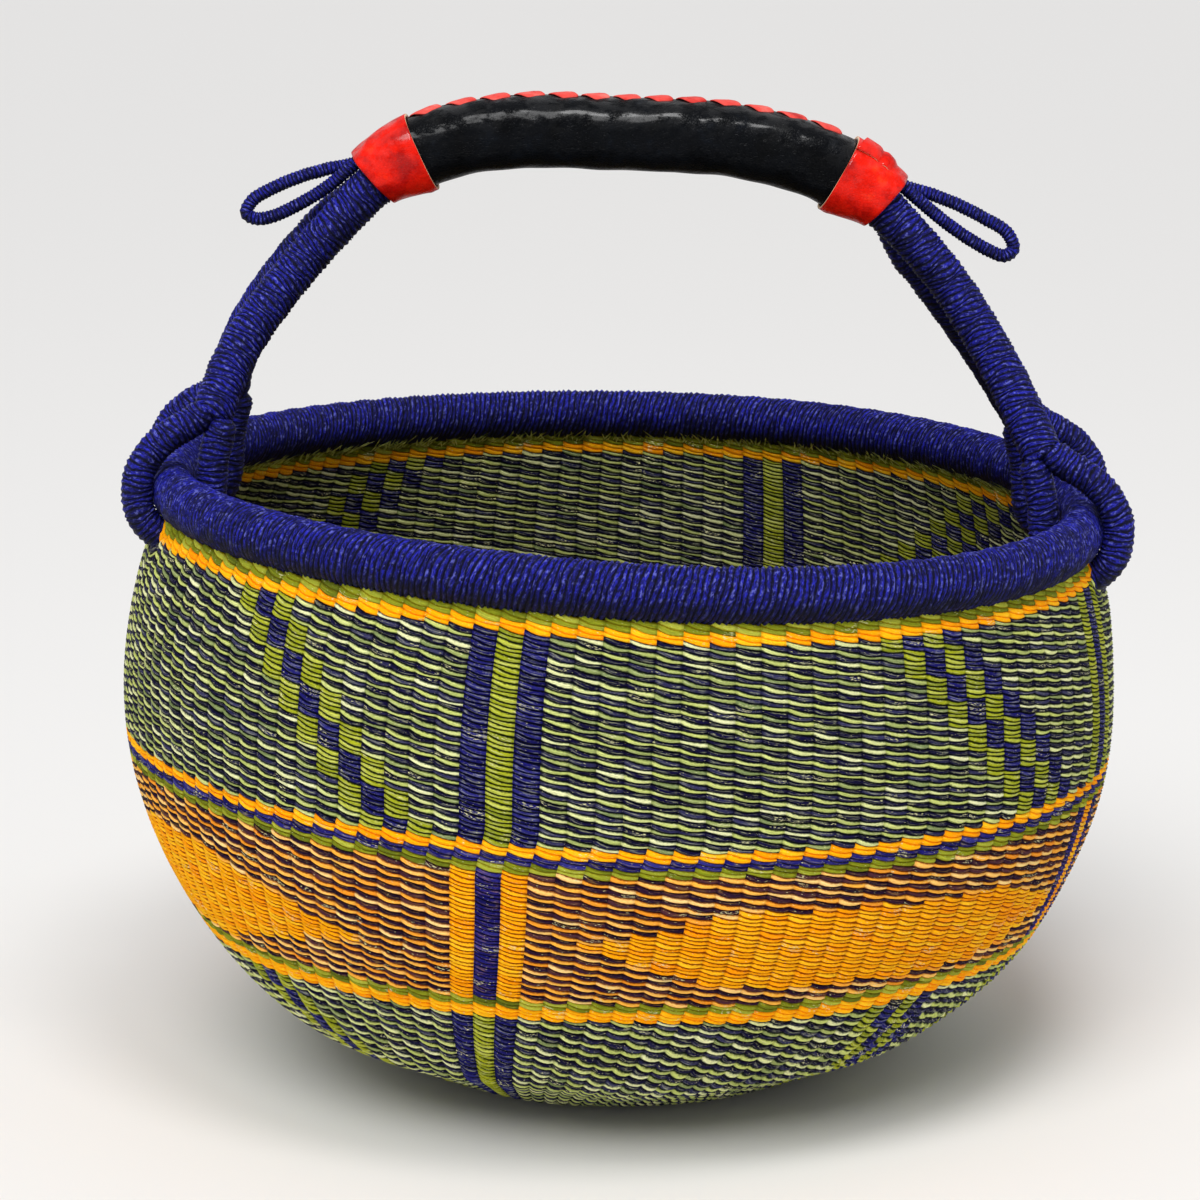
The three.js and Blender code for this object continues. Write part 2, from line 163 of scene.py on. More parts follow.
# %% [markdown]
# ## Modifiers
# A modifier does to a whole piece what would take hours by hand. Here an Array repeats a strand or a
# turn of winding, and a Solidify gives leather its thickness. Both are applied at once, because the
# next step moves the points that they made.


# %% Helpers for modifiers
def modify(piece, kind, **settings):
    """Adds a modifier, sets it and applies it"""
    pick(piece)
    bpy.ops.object.modifier_add(type=kind)
    modifier = piece.modifiers[-1]
    for setting, value in settings.items():
        setattr(modifier, setting, value)
    bpy.ops.object.modifier_apply(modifier=modifier.name)


def repeat(piece, count, step):
    """Repeats the piece in a row, and joins each copy to the next"""
    modify(
        piece, "ARRAY", count=count, use_relative_offset=False, use_constant_offset=True,
        constant_offset_displace=step, use_merge_vertices=True, merge_threshold=0.001,
    )


def thicken(piece, thickness, edge_material=0):
    """Gives a sheet its thickness, inwards; the cut edge can have the second material"""
    modify(piece, "SOLIDIFY", thickness=thickness * MM, offset=-1, material_offset_rim=edge_material)


# %% [markdown]
# ## All points at once
# A flat sheet of weave has tens of thousands of points, far too many to select and move one by one. So
# they are read as one table, moved by sums on whole columns, and written back. Two more helpers write
# what a material will read later: a UV map, and one number for each point.


# %% Helpers for points
def points_of(piece):
    points = np.empty(len(piece.data.vertices) * 3)
    piece.data.vertices.foreach_get("co", points)
    return points.reshape(-1, 3)


def place_points(piece, millimetres):
    """Puts every point where the table says, given in millimetres"""
    piece.data.vertices.foreach_set("co", (np.asarray(millimetres) * MM).ravel())
    piece.data.update()


def corners_of(piece):
    """The number of the point at each corner of each face"""
    corners = np.empty(len(piece.data.loops), int)
    piece.data.loops.foreach_get("vertex_index", corners)
    return corners


def write_uv(piece, name, corner_places):
    layer = piece.data.uv_layers.new(name=name)
    layer.data.foreach_set("uv", corner_places.ravel())


def write_number(piece, name, numbers):
    """Keeps one number for each point"""
    piece.data.attributes.new(name, "FLOAT", "POINT").data.foreach_set("value", numbers)


# %% [markdown]
# ## Small helper for materials
# A material is a net of nodes. Here a number that flows through the net can be written in a sum, as in
# `1 - mask`, and each sign adds the Math node that does it. Every other node comes from one method,
# `node`, and the methods after it only spare some writing.


# %% Helper for materials
class Flow:
    """What flows out of a socket"""

    def __init__(self, finish, socket):
        self.finish = finish
        self.socket = socket

    def math(self, operation, first, second):
        return self.finish.node("ShaderNodeMath", {"operation": operation}, {0: first, 1: second})

    def __add__(self, other):
        return self.math("ADD", self, other)

    def __radd__(self, other):
        return self.math("ADD", other, self)

    def __sub__(self, other):
        return self.math("SUBTRACT", self, other)

    def __rsub__(self, other):
        return self.math("SUBTRACT", other, self)

    def __mul__(self, other):
        return self.math("MULTIPLY", self, other)

    def __rmul__(self, other):
        return self.math("MULTIPLY", other, self)


class Finish:
    """One material, with its nodes"""

    def __init__(self, name):
        self.material = bpy.data.materials.new(name)
        self.material.use_nodes = True
        self.nodes = self.material.node_tree.nodes
        self.links = self.material.node_tree.links
        self.shader = self.nodes["Principled BSDF"]

    def plug(self, socket, value):
        if isinstance(value, Flow):
            self.links.new(value.socket, socket)
        else:
            socket.default_value = value

    def node(self, kind, settings, sockets, output=0):
        """Adds a node: first its settings, then the values or flows of its sockets"""
        node = self.nodes.new(kind)
        for setting, value in settings.items():
            setattr(node, setting, value)
        for socket, value in sockets.items():
            self.plug(node.inputs[socket], value)
        return Flow(self, node.outputs[output])

    def surface(self, **values):
        """Sets the shader's sockets; an underscore in a name stands for a space"""
        for name, value in values.items():
            self.plug(self.shader.inputs[name.replace("_", " ")], value)

    def mix(self, share, first, second, way="MIX"):
        """A colour made of two colours"""
        return self.node("ShaderNodeMix", {"data_type": "RGBA", "blend_type": way}, {
            0: share, 6: first, 7: second,
        }, output=2)

    def steps(self, flow, low, high):
        """0 below the low value, 1 above the high one"""
        return self.node("ShaderNodeMapRange", {"interpolation_type": "SMOOTHSTEP"}, {
            "Value": flow, "From Min": low, "From Max": high,
        })

    def middle(self, flow):
        """0 at each whole number and 1 half-way between, as across the width of a strand"""
        return self.node("ShaderNodeMath", {"operation": "PINGPONG"}, {0: flow, 1: 0.5}) * 2.0

    def noise(self, place, size, detail, roughness):
        return self.node("ShaderNodeTexNoise", {}, {
            "Vector": place, "Scale": size, "Detail": detail, "Roughness": roughness,
        })

    def streaks(self, place, scale, detail, roughness):
        """Noise that is finer in one direction than in another"""
        stretched = self.node("ShaderNodeMapping", {}, {"Vector": place, "Scale": scale})
        return self.noise(stretched, 1.0, detail, roughness)

    def bump(self, height, strength, distance):
        return self.node("ShaderNodeBump", {}, {
            "Strength": strength, "Distance": distance, "Height": height,
        })

    def object_place(self):
        return self.node("ShaderNodeTexCoord", {}, {}, output=3)

    def number(self, name):
        """The number that was kept for each point under this name"""
        return self.node("ShaderNodeAttribute", {"attribute_name": name}, {}, output=2)


# %% [markdown]
# ## Colours and places in the model
# A colour is picked in a picture as three numbers up to 255, but Blender counts with light, so `dye`
# turns one into the other. Each finished piece then takes its material, and is entered in the measured
# model: it rides on the root body, and the measured nodes that it stands for are hidden.


# %% Helpers for colour and dressing
def dye(red, green, blue):
    """A colour as picked in a picture, 0 to 255, turned into the light that Blender counts with"""
    shares = [value / 255 for value in (red, green, blue)]
    linear = [share / 12.92 if share <= 0.04045 else ((share + 0.055) / 1.055) ** 2.4 for share in shares]
    return (*linear, 1.0)


def enter(piece, slot, *nodes):
    """Enters a piece in the measured model; nodes are the measured ones that it stands for"""
    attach(piece, "root")
    if nodes:
        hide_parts(*nodes)


def dress(piece, finish, slot, *nodes):
    """Gives a piece its finish and enters it"""
    piece.data.materials.clear()
    piece.data.materials.append(finish.material)
    enter(piece, slot, *nodes)


# %% [markdown]
# ## Floor and light
# The basket stands on a plain pale floor, wide enough to fill the view, so no wall is needed behind it.
# A very soft, distant light comes from above and in front, a large lamp near the basket adds the
# highlights that a window gives, and the world fills the shadows. All three are kept low enough that
# the floor stays just under white.


# %% Floor and light
deselect()
bpy.ops.mesh.primitive_plane_add(size=40, location=(0, 0, 0))
floor = named("floor")
floor_finish = Finish("pale_floor")
floor_finish.surface(Base_Color=dye(232, 231, 229), Roughness=0.9, Specular_IOR_Level=0.2)
floor.data.materials.append(floor_finish.material)


def window_lamp(place, target, size, power):
    """A round lamp at a place, turned to its target"""
    deselect()
    bpy.ops.object.light_add(type="AREA", location=place)
    light = bpy.context.object
    light.name = "window_light"
    light.data.shape = "DISK"
    light.data.size = size
    light.data.energy = power
    away = np.array(place) - np.array(target)
    level = math.hypot(away[0], away[1])
    light.rotation_euler = (math.atan2(level, away[2]), 0, math.atan2(away[0], -away[1]))


window_lamp(place=(0.25, -0.9, 1.9), target=(0, 0, 0.25), size=0.6, power=12)
deselect()
bpy.ops.object.light_add(type="SUN", rotation=(math.radians(42), 0, math.radians(-16)))
daylight = bpy.context.object
daylight.name = "daylight"
daylight.data.energy = 1.9
daylight.data.angle = math.radians(35)
world = bpy.data.worlds.new("studio")
bpy.context.scene.world = world
world.use_nodes = True
sky = world.node_tree.nodes["Background"]
sky.inputs["Color"].default_value = dye(240, 240, 242)
sky.inputs["Strength"].default_value = 0.6

# %% [markdown]
# ## The form of the bowl
# The bowl is a round form: a flat foot, a full belly and a mouth that draws in a little. It could be
# sculpted, but a maker thinks of it as an outline that is turned round, so it is a curve of radius
# against height. The handle pulls the finished mouth out of round, so the last step settles every point
# into that slightly oval, tilted shape. The table of the outline runs on a little above the wall's top
# edge, because round the cords of the handle the weave is pushed up under the rim.

# %% The bowl as numbers
BELLY, BELLY_HEIGHT = 197.5, 180.0  # the widest radius of the outer face, and its height
WALL_TOP, FOOT, WALL_THICKNESS = 221.6, 60.0, 5.0  # FOOT is the radius of the flat base
FULLNESS, ROUNDNESS, DRAW_IN = 2.5, 0.57, 2
RIM_RADIUS, RIM_HEIGHT = 193.0, 229.3  # the middle of the rim
MOUTH_PINCH, PINCH_GROWTH, MOUTH_SHIFT = 0.07, 6, 3.5
RIGHT_DROP, MOUTH_WARP = 7.3, 2


def wall_radius(height):
    share = np.maximum(height - BELLY_HEIGHT, 0) / (WALL_TOP - BELLY_HEIGHT)
    below = np.clip(1 - height / BELLY_HEIGHT, 0, 1)
    spread = (1 - below ** FULLNESS) ** ROUNDNESS
    return FOOT + (BELLY - FOOT) * spread - DRAW_IN * share ** 2


def settle(points):
    """Pulls a round, level form into the oval, tilted mouth"""
    x, y, z = points[..., 0], points[..., 1], points[..., 2]
    share = np.maximum(z, 0) / RIM_HEIGHT
    pull = np.clip(z / WALL_TOP, 0, 1) ** PINCH_GROWTH
    tilt = -RIGHT_DROP * (x / BELLY) * share
    warp = 2 * MOUTH_WARP * x * y / BELLY ** 2 * np.sqrt(share)
    return np.stack([x * (1 - MOUTH_PINCH * pull) + MOUTH_SHIFT * pull, y, z + tilt + warp], -1)


UNDER_RIM, PROFILE_POINTS = 8.0, 4001
profile_height = np.append(np.linspace(WALL_TOP + UNDER_RIM, 0, PROFILE_POINTS), 0)
profile_radius = np.append(wall_radius(profile_height[:-1]), 0)
profile_steps = np.hypot(np.diff(profile_height), np.diff(profile_radius))
profile_down = np.concatenate([[0], np.cumsum(profile_steps)])
profile_down -= np.interp(-WALL_TOP, -profile_height[:-1], profile_down[:-1])
foot_down = profile_down[-2]


def down_to(height):
    """How far down the wall a height lies, measured along the wall from its top edge"""
    return float(np.interp(-height, -profile_height[:-1], profile_down[:-1]))


print("the wall is", round(foot_down, 1), "mm from top edge to foot")

# %% [markdown]
# ## The rows of the weave
# Twining carries two strands at once. They cross between every two stakes, so on the outside each
# stake shows one strand in one row and the other strand in the next. The rows are counted from the
# top, because that is where they can be counted in a picture. Each run below ends at a height that was
# measured on the basket, and holds a number of rows. Towards the foot the rows get coarser, since the
# weaving starts there with thicker strands.

# %% Rows and runs
FIELD_TOP, FLARE_TOP = 137.4, 37.9
BASE_ROWS = 20
runs = [  # name, height of the lower edge, rows, how fast the rows get coarser
    ("top_green", 217.2, 2, 1), ("top_orange", 213.6, 2, 1), ("upper_field", FIELD_TOP, 44, 1),
    ("middle_orange", 133.8, 2, 1), ("middle_navy", 130.4, 2, 1), ("middle_green", 127.3, 2, 1),
    ("orange_field", 73.9, 32, 1), ("low_green", 70.5, 2, 1), ("low_orange", 65.5, 3, 1),
    ("lower_field", 15.0, 24, 1.2), ("bottom_field", 0.0, 15, 1),
]
row_ends = [0.0]
run_rows = {}
for run, height, count, growth in runs:
    first = len(row_ends) - 1
    run_rows[run] = (first, first + count)
    shares = np.linspace(0, 1, count + 1)[1:] ** growth
    row_ends += list(row_ends[-1] + (down_to(height) - row_ends[-1]) * shares)
first = len(row_ends) - 1
run_rows["base_field"] = (first, first + BASE_ROWS)
row_ends += list(np.linspace(row_ends[-1], foot_down + FOOT, BASE_ROWS + 1)[1:])
row_ends = np.array(row_ends)
last_row = len(row_ends) - 1
print("rows:", last_row, run_rows)

# %% [markdown]
# ## Where a point of the flat weave lies on the bowl
# A weave is easiest to make flat, where every float is alike. So it is made as a flat sheet, where x
# counts stakes and y counts rows, and then wrapped round the bowl. Low on the bowl the stakes lean, as
# they do on the real one, and a hand never lays a strand quite level. The sheet is also pushed apart
# round the four places where the cords of the handle go through the wall.

# %% Wrapping the sheet
STAKES = 126
FIRST_STAKE_ANGLE = -12.5  # degrees from the front
LEAN_LENGTH, LEAN_AT_FOOT, LEAN_GROWTH = 141, 9.1, 1.9
lean_from = down_to(FIELD_TOP)


def stake_lean(down):
    """Degrees by which the stakes have turned round the bowl, this far down the wall"""
    start = np.clip((down - lean_from + 8) / 24, 0, 1)
    leant = np.maximum(down - lean_from, 0) / LEAN_LENGTH
    return -1.3 * start ** 2 * (3 - 2 * start) - LEAN_AT_FOOT * leant ** LEAN_GROWTH


wobbles = [  # rows up or down, waves round the bowl, how each turns from row to row, where it starts
    (0.10, 37, 0.9, 0), (0.09, 53, -1.7, 1), (0.12, 19, 2.3, 2), (0.14, 7, -0.31, 0),
]


def hand_wobble(stake, row):
    """How far, in rows, a hand-laid strand strays up or down; it comes round to the same value"""
    turn = 2 * np.pi * stake / STAKES
    stray = sum(rise * np.sin(waves * turn + drift * row + start) for rise, waves, drift, start in wobbles)
    return stray * np.clip(row / 3, 0, 1) * np.clip((last_row - 23 - row) / 12, 0, 1)


FORKS = {"left_back": -102, "left_front": -76, "right_front": 76, "right_back": 102}  # degrees
PASSAGE_HEIGHT, PASSAGE_RADIUS, PASSAGE_REACH = 212.8, 6.2, 12.5
PASSAGE_FROM_AXIS = 194


def make_room(turn, down):
    """Pushes points away from the four places where a cord goes through the wall"""
    passage_down = down_to(PASSAGE_HEIGHT)
    for angle in FORKS.values():
        beside = np.radians(turn - angle) * PASSAGE_FROM_AXIS
        below = down - passage_down
        away = np.hypot(beside, below)
        pushed = PASSAGE_RADIUS + away * (1 - PASSAGE_RADIUS / PASSAGE_REACH)
        grow = np.where(away < PASSAGE_REACH, pushed / np.maximum(away, 1e-6), 1)
        turn = angle + np.degrees(beside * grow / PASSAGE_FROM_AXIS)
        down = passage_down + below * grow
    return turn, down


def wall_slope(down):
    """Which way the wall runs, this far down it: the shares of a step that go outwards and downwards"""
    step = 0.4
    radius = [np.interp(down + way, profile_down, profile_radius) for way in (step, -step)]
    height = [np.interp(down + way, profile_down, profile_height) for way in (step, -step)]
    out, drop = radius[0] - radius[1], height[1] - height[0]
    size = np.maximum(np.hypot(out, drop), 1e-9)
    return out / size, drop / size


def unevenness(turn, down):
    """The slow dents and swells of the wall, which fade towards the rim and the foot"""
    swell = 0.5 * np.sin(5 * turn + down / 31) + 0.4 * np.sin(9 * turn - down / 17 + 1)
    return swell * np.clip(down / 30, 0, 1) * np.clip((foot_down - down) / 60, 0, 1)


def drawn_in(height):
    """How far the outer face draws in above the foot, so that the bowl rests on its flat base"""
    at_floor = 1.2 * np.clip(1 - height / 7, 0, 1)
    return at_floor + 2.4 * np.sin(np.pi * np.clip(height / 28, 0, 1)) ** 2


def on_bowl(stake, row, proud):
    """Wraps points of the flat sheet round the bowl; proud is how far they stand off its outer face"""
    down = np.interp(row + hand_wobble(stake, row), np.arange(last_row + 1), row_ends)
    turn = FIRST_STAKE_ANGLE - 180 / STAKES + stake * 360 / STAKES + stake_lean(down)
    turn, down = make_room((turn + 180) % 360 - 180, down)
    turn = np.radians(turn)
    radius = np.interp(down, profile_down, profile_radius)
    height = np.interp(down, profile_down, profile_height)
    out, drop = wall_slope(down)
    on_outer_sheet = proud > -2
    proud = proud + unevenness(turn, down) - np.where(on_outer_sheet, drawn_in(height), 0)
    radius = radius + proud * drop
    height = np.maximum(height + proud * out, 0)
    return settle(np.stack([radius * np.sin(turn), -radius * np.cos(turn), height], -1))


print("stakes:", STAKES, "with", len(FORKS), "passages for the cords of the handle")

# %% [markdown]
# ## One strand
# A single float, the part of a strand that shows between two crossings, is modelled once, because all
# the others are alike. It is a small grid, raised along its middle and bulging over the stake behind
# it. It starts high and steep at the left and ends one row lower at the right, which gives the weave
# its rope-like slant. Its border stays sharp, so that the dark line between two strands shows.

# %% Model one float
FLOAT_PARTS = 4
strand = flat_grid("strand", FLOAT_PARTS, 2, (0.5, -0.5, 0))


def sag(across):
    """How far a float has dropped, in rows, at a share of its width"""
    return across + 0.2 * np.sin(np.pi * across)


sharp_border(strand)
nudge(strand, lambda p: 0.1 < p.x < 0.9, (0, 0, 0.3))
nudge(strand, lambda p: 0.4 < p.x < 0.6, (0, 0, 0.15))
nudge(strand, lambda p: -0.9 < p.y < -0.1, (0, 0, 0.45))
nudge(strand, lambda p: -0.9 < p.y < -0.1 and 0.1 < p.x < 0.9, (0, 0, 0.45))
for part in range(1, FLOAT_PARTS + 1):
    share = part / FLOAT_PARTS
    nudge(strand, lambda p: abs(p.x - share) < 0.01, (0, -float(sag(share)), 0))
print("one float has", len(strand.data.polygons), "faces")

# %% [markdown]
# ## The dyes and the pattern
# The colours follow simple rules that a weaver counts: the two strands of a pair alternate from stake
# to stake and row to row, which gives fine stripes. Where the weaver keeps one colour on the same
# stakes, upright bars and steps of small blocks appear, and where both strands are orange, solid lines
# and diamonds. The same rules are written here, so the pattern needs no picture.

# %% Dyes
DYES = np.array([  # each dye, then where the grass took less of it, and where it took more
    [dye(26, 24, 104), dye(56, 56, 140), dye(10, 9, 50)],
    [dye(170, 176, 32), dye(208, 214, 92), dye(112, 126, 28)],
    [dye(255, 172, 6), dye(255, 206, 40), dye(248, 128, 0)],
    # the navy of the fields: the same navy, painted darker as the shade in which its narrow floats lie
    [dye(18, 14, 56), dye(78, 78, 120), dye(6, 5, 20)],
    [dye(204, 214, 116), dye(246, 246, 196), dye(104, 124, 84)],
    [dye(36, 15, 44), dye(100, 56, 56), dye(16, 8, 26)],
    [dye(188, 176, 96), dye(222, 214, 160), dye(120, 106, 60)],
    [dye(126, 134, 26), dye(186, 190, 70), dye(72, 84, 24)],
    [dye(254, 180, 66), dye(255, 222, 150), dye(236, 132, 20)],
])
NAVY, GREEN, ORANGE, SHADED_NAVY, SOFT_GREEN, DARK, STRAW, LEAF, PEACH = range(len(DYES))
MOTTLING = np.array([0.6, 0.7, 0.55, 0.5, 0.85, 0.6, 0.7, 0.8, 0.8])  # how far floats of a dye differ
pairs = {  # the two dyes of each run, first and second
    "top_green": (LEAF, LEAF), "top_orange": (ORANGE, ORANGE), "upper_field": (SHADED_NAVY, SOFT_GREEN),
    "middle_orange": (ORANGE, ORANGE), "middle_navy": (NAVY, NAVY), "middle_green": (LEAF, LEAF),
    "orange_field": (DARK, PEACH), "low_green": (LEAF, LEAF), "low_orange": (ORANGE, ORANGE),
    "lower_field": (SHADED_NAVY, SOFT_GREEN), "bottom_field": (SHADED_NAVY, SOFT_GREEN),
    "base_field": (SOFT_GREEN, STRAW),
}
full = np.arange(len(DYES))  # a dye kept on the same stakes lies closer and looks fuller, and its navy goes without the fields' painted shade
full[[SHADED_NAVY, DARK, SOFT_GREEN, PEACH]] = NAVY, NAVY, GREEN, ORANGE
print("dyes:", len(DYES))

# %% [markdown]
# ## Bars, blocks and diamonds
# Three upright stakes make a bar, of which four stand round the bowl. The blocks climb a stake every
# few rows, so they make stairs. A diamond is the space within a half width and a half height, and some
# lean a little, as on the real wall.

# %% Pattern
bars = {}  # which strand of the pair shows on each stake of a bar
for middle, strands in ((0, (0, 1, 0)), (29, (1, 0, 1)), (60, (1, 0, 1)), (-34, (1, 0, 1))):
    bars.update(zip((middle - 1, middle, middle + 1), strands))
block_steps = [  # first row, last row, first stake, rows of a block, strand of each stake
    (3, 48, -12, 6, (1, 0, 1)), (1, 48, 15, 6, (1, 0, 1, 0)),
    (2, 48, 45, 4, (1, 0, 1, 0)), (2, 48, -49, 5, (1, 0, 1, 0)),
    (91, 122, -13, 4, (1, 0, 1)), (92, 122, 18, 5, (1, 0, 1, 0)), (91, 122, 46, 4, (1, 0, 1)),
]
HALVED = 122  # the row from which only about every second stake runs on
diamonds = [  # stake and row of the middle, half width, half height, slope, steepness of the ends
    (15.8, 72.3, 12.3, 9.5, 0.18, 2.0), (-17.0, 73.5, 11.8, 10.5, 0.0, 1.35),
    (45.0, 70.5, 11.5, 9.0, 0.0, 2.0), (-49.0, 70.5, 11.5, 9.0, 0.0, 2.0),
]


def from_front(stake):
    """Counts the stakes to both sides of the front one"""
    return (stake + STAKES // 2) % STAKES - STAKES // 2


def in_diamond(stake, row):
    inside = np.zeros(len(row), bool)
    for middle, level, half_width, half_height, slope, steepness in diamonds:
        beside = np.abs(stake - middle)
        reach = half_height * np.minimum(1, steepness * (1 - beside / half_width))
        inside |= (np.abs(row - level - slope * (stake - middle)) <= reach) & (beside < half_width)
    return inside


def pattern(stake, row, inside):
    """Which dye shows at each stake and row"""
    stake = from_front(stake)
    shown = (stake + row) % 2
    kept = np.zeros(len(row), bool)
    for bar, strand_shown in bars.items():
        hit = (stake == bar) & (row < HALVED)
        kept |= hit
        shown = np.where(hit, strand_shown, shown)
    orange_from, orange_to = run_rows["orange_field"]
    orange_rows = (row >= orange_from) & (row < orange_to)
    barred = np.isin(stake, list(bars)) & orange_rows
    shown = np.where(barred, 1 - shown, shown)
    for block_from, block_to, block_stake, block_rows, strands in block_steps:
        here = block_stake + (row - block_from) // block_rows
        for offset, strand_shown in enumerate(strands):
            hit = (stake == here + offset) & (row >= block_from) & (row < block_to)
            kept |= hit
            shown = np.where(hit, strand_shown, shown)
    solid = orange_rows & ~barred & in_diamond(stake, row)
    shown = np.where(inside, 1 - shown, shown)
    shown = np.where(solid, 1, shown)
    result = np.zeros(len(row), int)
    for run, (run_from, run_to) in run_rows.items():
        here = (row >= run_from) & (row < run_to)
        result = np.where(here, np.where(shown == 0, pairs[run][0], pairs[run][1]), result)
    return np.where(kept | solid, full[result], result)


print("bars:", len(bars) // 3, "stairs of blocks:", len(block_steps), "diamonds:", len(diamonds))

# %% [markdown]
# ## Marking the floats
# Every face keeps two facts: its dye, as a colour attribute, and its place along and across the strand,
# as a UV map, so that the fibres in the material follow the strand. No two floats took the dye alike,
# so each one gets its own shade from a table of random numbers with a fixed seed.

# %% Marking helper
SHADE_ROWS, SHADE_STAKES = 256, 512
INSIDE_SHADE = 0.62  # painted shade: the inside is painted darker, as the shade inside the bowl
chance = np.random.default_rng(7)
float_shade = chance.uniform(-1, 1, (SHADE_ROWS, SHADE_STAKES))
print("shades:", float_shade.size)


def float_tint(stake, row, inside):
    """The colour of each float; a shade above 0 is paler than its dye, and one below 0 is deeper"""
    kind = pattern(stake, row, inside)
    side = SHADE_STAKES // 2 if inside else 0
    shade = float_shade[row % SHADE_ROWS, (stake + SHADE_STAKES // 4 + side) % SHADE_STAKES]
    pale = (np.clip(shade, 0, 1) ** 1.5 * MOTTLING[kind])[:, None]
    deep = (np.clip(-shade, 0, 1) ** 1.5 * MOTTLING[kind])[:, None]
    tint = DYES[kind, 0] * (1 - pale - deep) + DYES[kind, 1] * pale + DYES[kind, 2] * deep
    # painted shade on every float of the inside
    return tint * (INSIDE_SHADE if inside else 1)


def mark_floats(sheet, first_row, stakes, inside):
    """Writes the dye and the strand's own coordinates on a flat sheet"""
    places = points_of(sheet)[corners_of(sheet)].reshape(-1, 4, 3)
    stake = np.floor(places[:, :, 0].mean(1)).astype(int)
    along = first_row - places[:, :, 1] - sag(places[:, :, 0] - stake[:, None])
    row = np.floor(along.mean(1)).astype(int)
    write_uv(sheet, "strand", np.stack([places[:, :, 0], along], -1))
    true_stake = (stakes - 1 - stake) if inside else stake
    if stakes == STAKES:
        true_stake = from_front(true_stake)
    tint = float_tint(true_stake, row, inside)
    colours = sheet.data.color_attributes.new(name="dye", type="FLOAT_COLOR", domain="CORNER")
    colours.data.foreach_set("color", np.repeat(tint, 4, axis=0).ravel())


# %% [markdown]
# ## Weaving a run
# A run of rows is the float repeated down and across by two Array modifiers, once for the outside and
# once, turned round, for the inside, where the other strand of each pair shows. Both sheets are wrapped
# round the bowl, and their open edges are bridged, so that the wall has its real thickness and no gap.

# %% Weave helpers
OUTER_SINK, INNER_SINK = 0.3, 0.6  # how deep the floats of each face lie in the wall


def bridge_edges(piece, chosen):
    """Bridges the two open edges, of the outer and the inner sheet, whose rows pass the test"""
    pick(piece)
    bpy.ops.object.mode_set(mode="EDIT")
    bpy.ops.mesh.select_mode(type="EDGE")
    bpy.ops.mesh.select_all(action="DESELECT")
    bpy.ops.mesh.select_non_manifold(
        extend=False, use_wire=False, use_boundary=True, use_multi_face=False,
        use_non_contiguous=False, use_verts=False,
    )
    bpy.ops.object.mode_set(mode="OBJECT")
    open_edges = np.empty(len(piece.data.edges), bool)
    piece.data.edges.foreach_get("select", open_edges)
    ends = np.empty(len(piece.data.edges) * 2, int)
    piece.data.edges.foreach_get("vertices", ends)
    rows = np.empty(len(piece.data.vertices))
    piece.data.attributes["row"].data.foreach_get("value", rows)
    right = chosen(rows)[ends.reshape(-1, 2)].all(1) & open_edges
    for kind in (piece.data.vertices, piece.data.edges, piece.data.polygons):
        kind.foreach_set("select", np.zeros(len(kind), bool))
    piece.data.edges.foreach_set("select", right)
    bpy.ops.object.mode_set(mode="EDIT")
    bpy.ops.mesh.bridge_edge_loops()
    bpy.ops.object.mode_set(mode="OBJECT")


def woven(name, first, last, stakes=STAKES, straight=(False, False)):
    """A run of rows round the bowl; straight says whether its top and bottom edge are cut straight"""
    start = first - 1 if straight[0] else first
    outer = copy_of(strand, name)
    repeat(outer, last - start, (0, -1, 0))
    repeat(outer, stakes, (1, 0, 0))
    inner = copy_of(outer, name + "_inside")
    mark_floats(outer, start, stakes, False)
    mark_floats(inner, start, stakes, True)
    for sheet, inside in ((outer, False), (inner, True)):
        x, y, z = points_of(sheet).T
        stake = (stakes - x if inside else x) * STAKES / stakes
        row = start - y
        if straight[0]:
            row = np.maximum(row, first)
        if straight[1]:
            row = np.minimum(row, last)
        write_number(sheet, "row", start - y)
        proud = -WALL_THICKNESS - z + INNER_SINK if inside else z - OUTER_SINK
        place_points(sheet, on_bowl(stake, row, proud))
    pick(outer, inner)
    bpy.ops.object.join()
    weld(outer)
    bridge_edges(outer, lambda rows: rows < (first + last) / 2)
    if last < last_row:
        bridge_edges(outer, lambda rows: rows > (first + last) / 2)
    outer.data.attributes.remove(outer.data.attributes["row"])
    smooth_shading(outer)
    print(name, "faces", len(outer.data.polygons))
    return outer
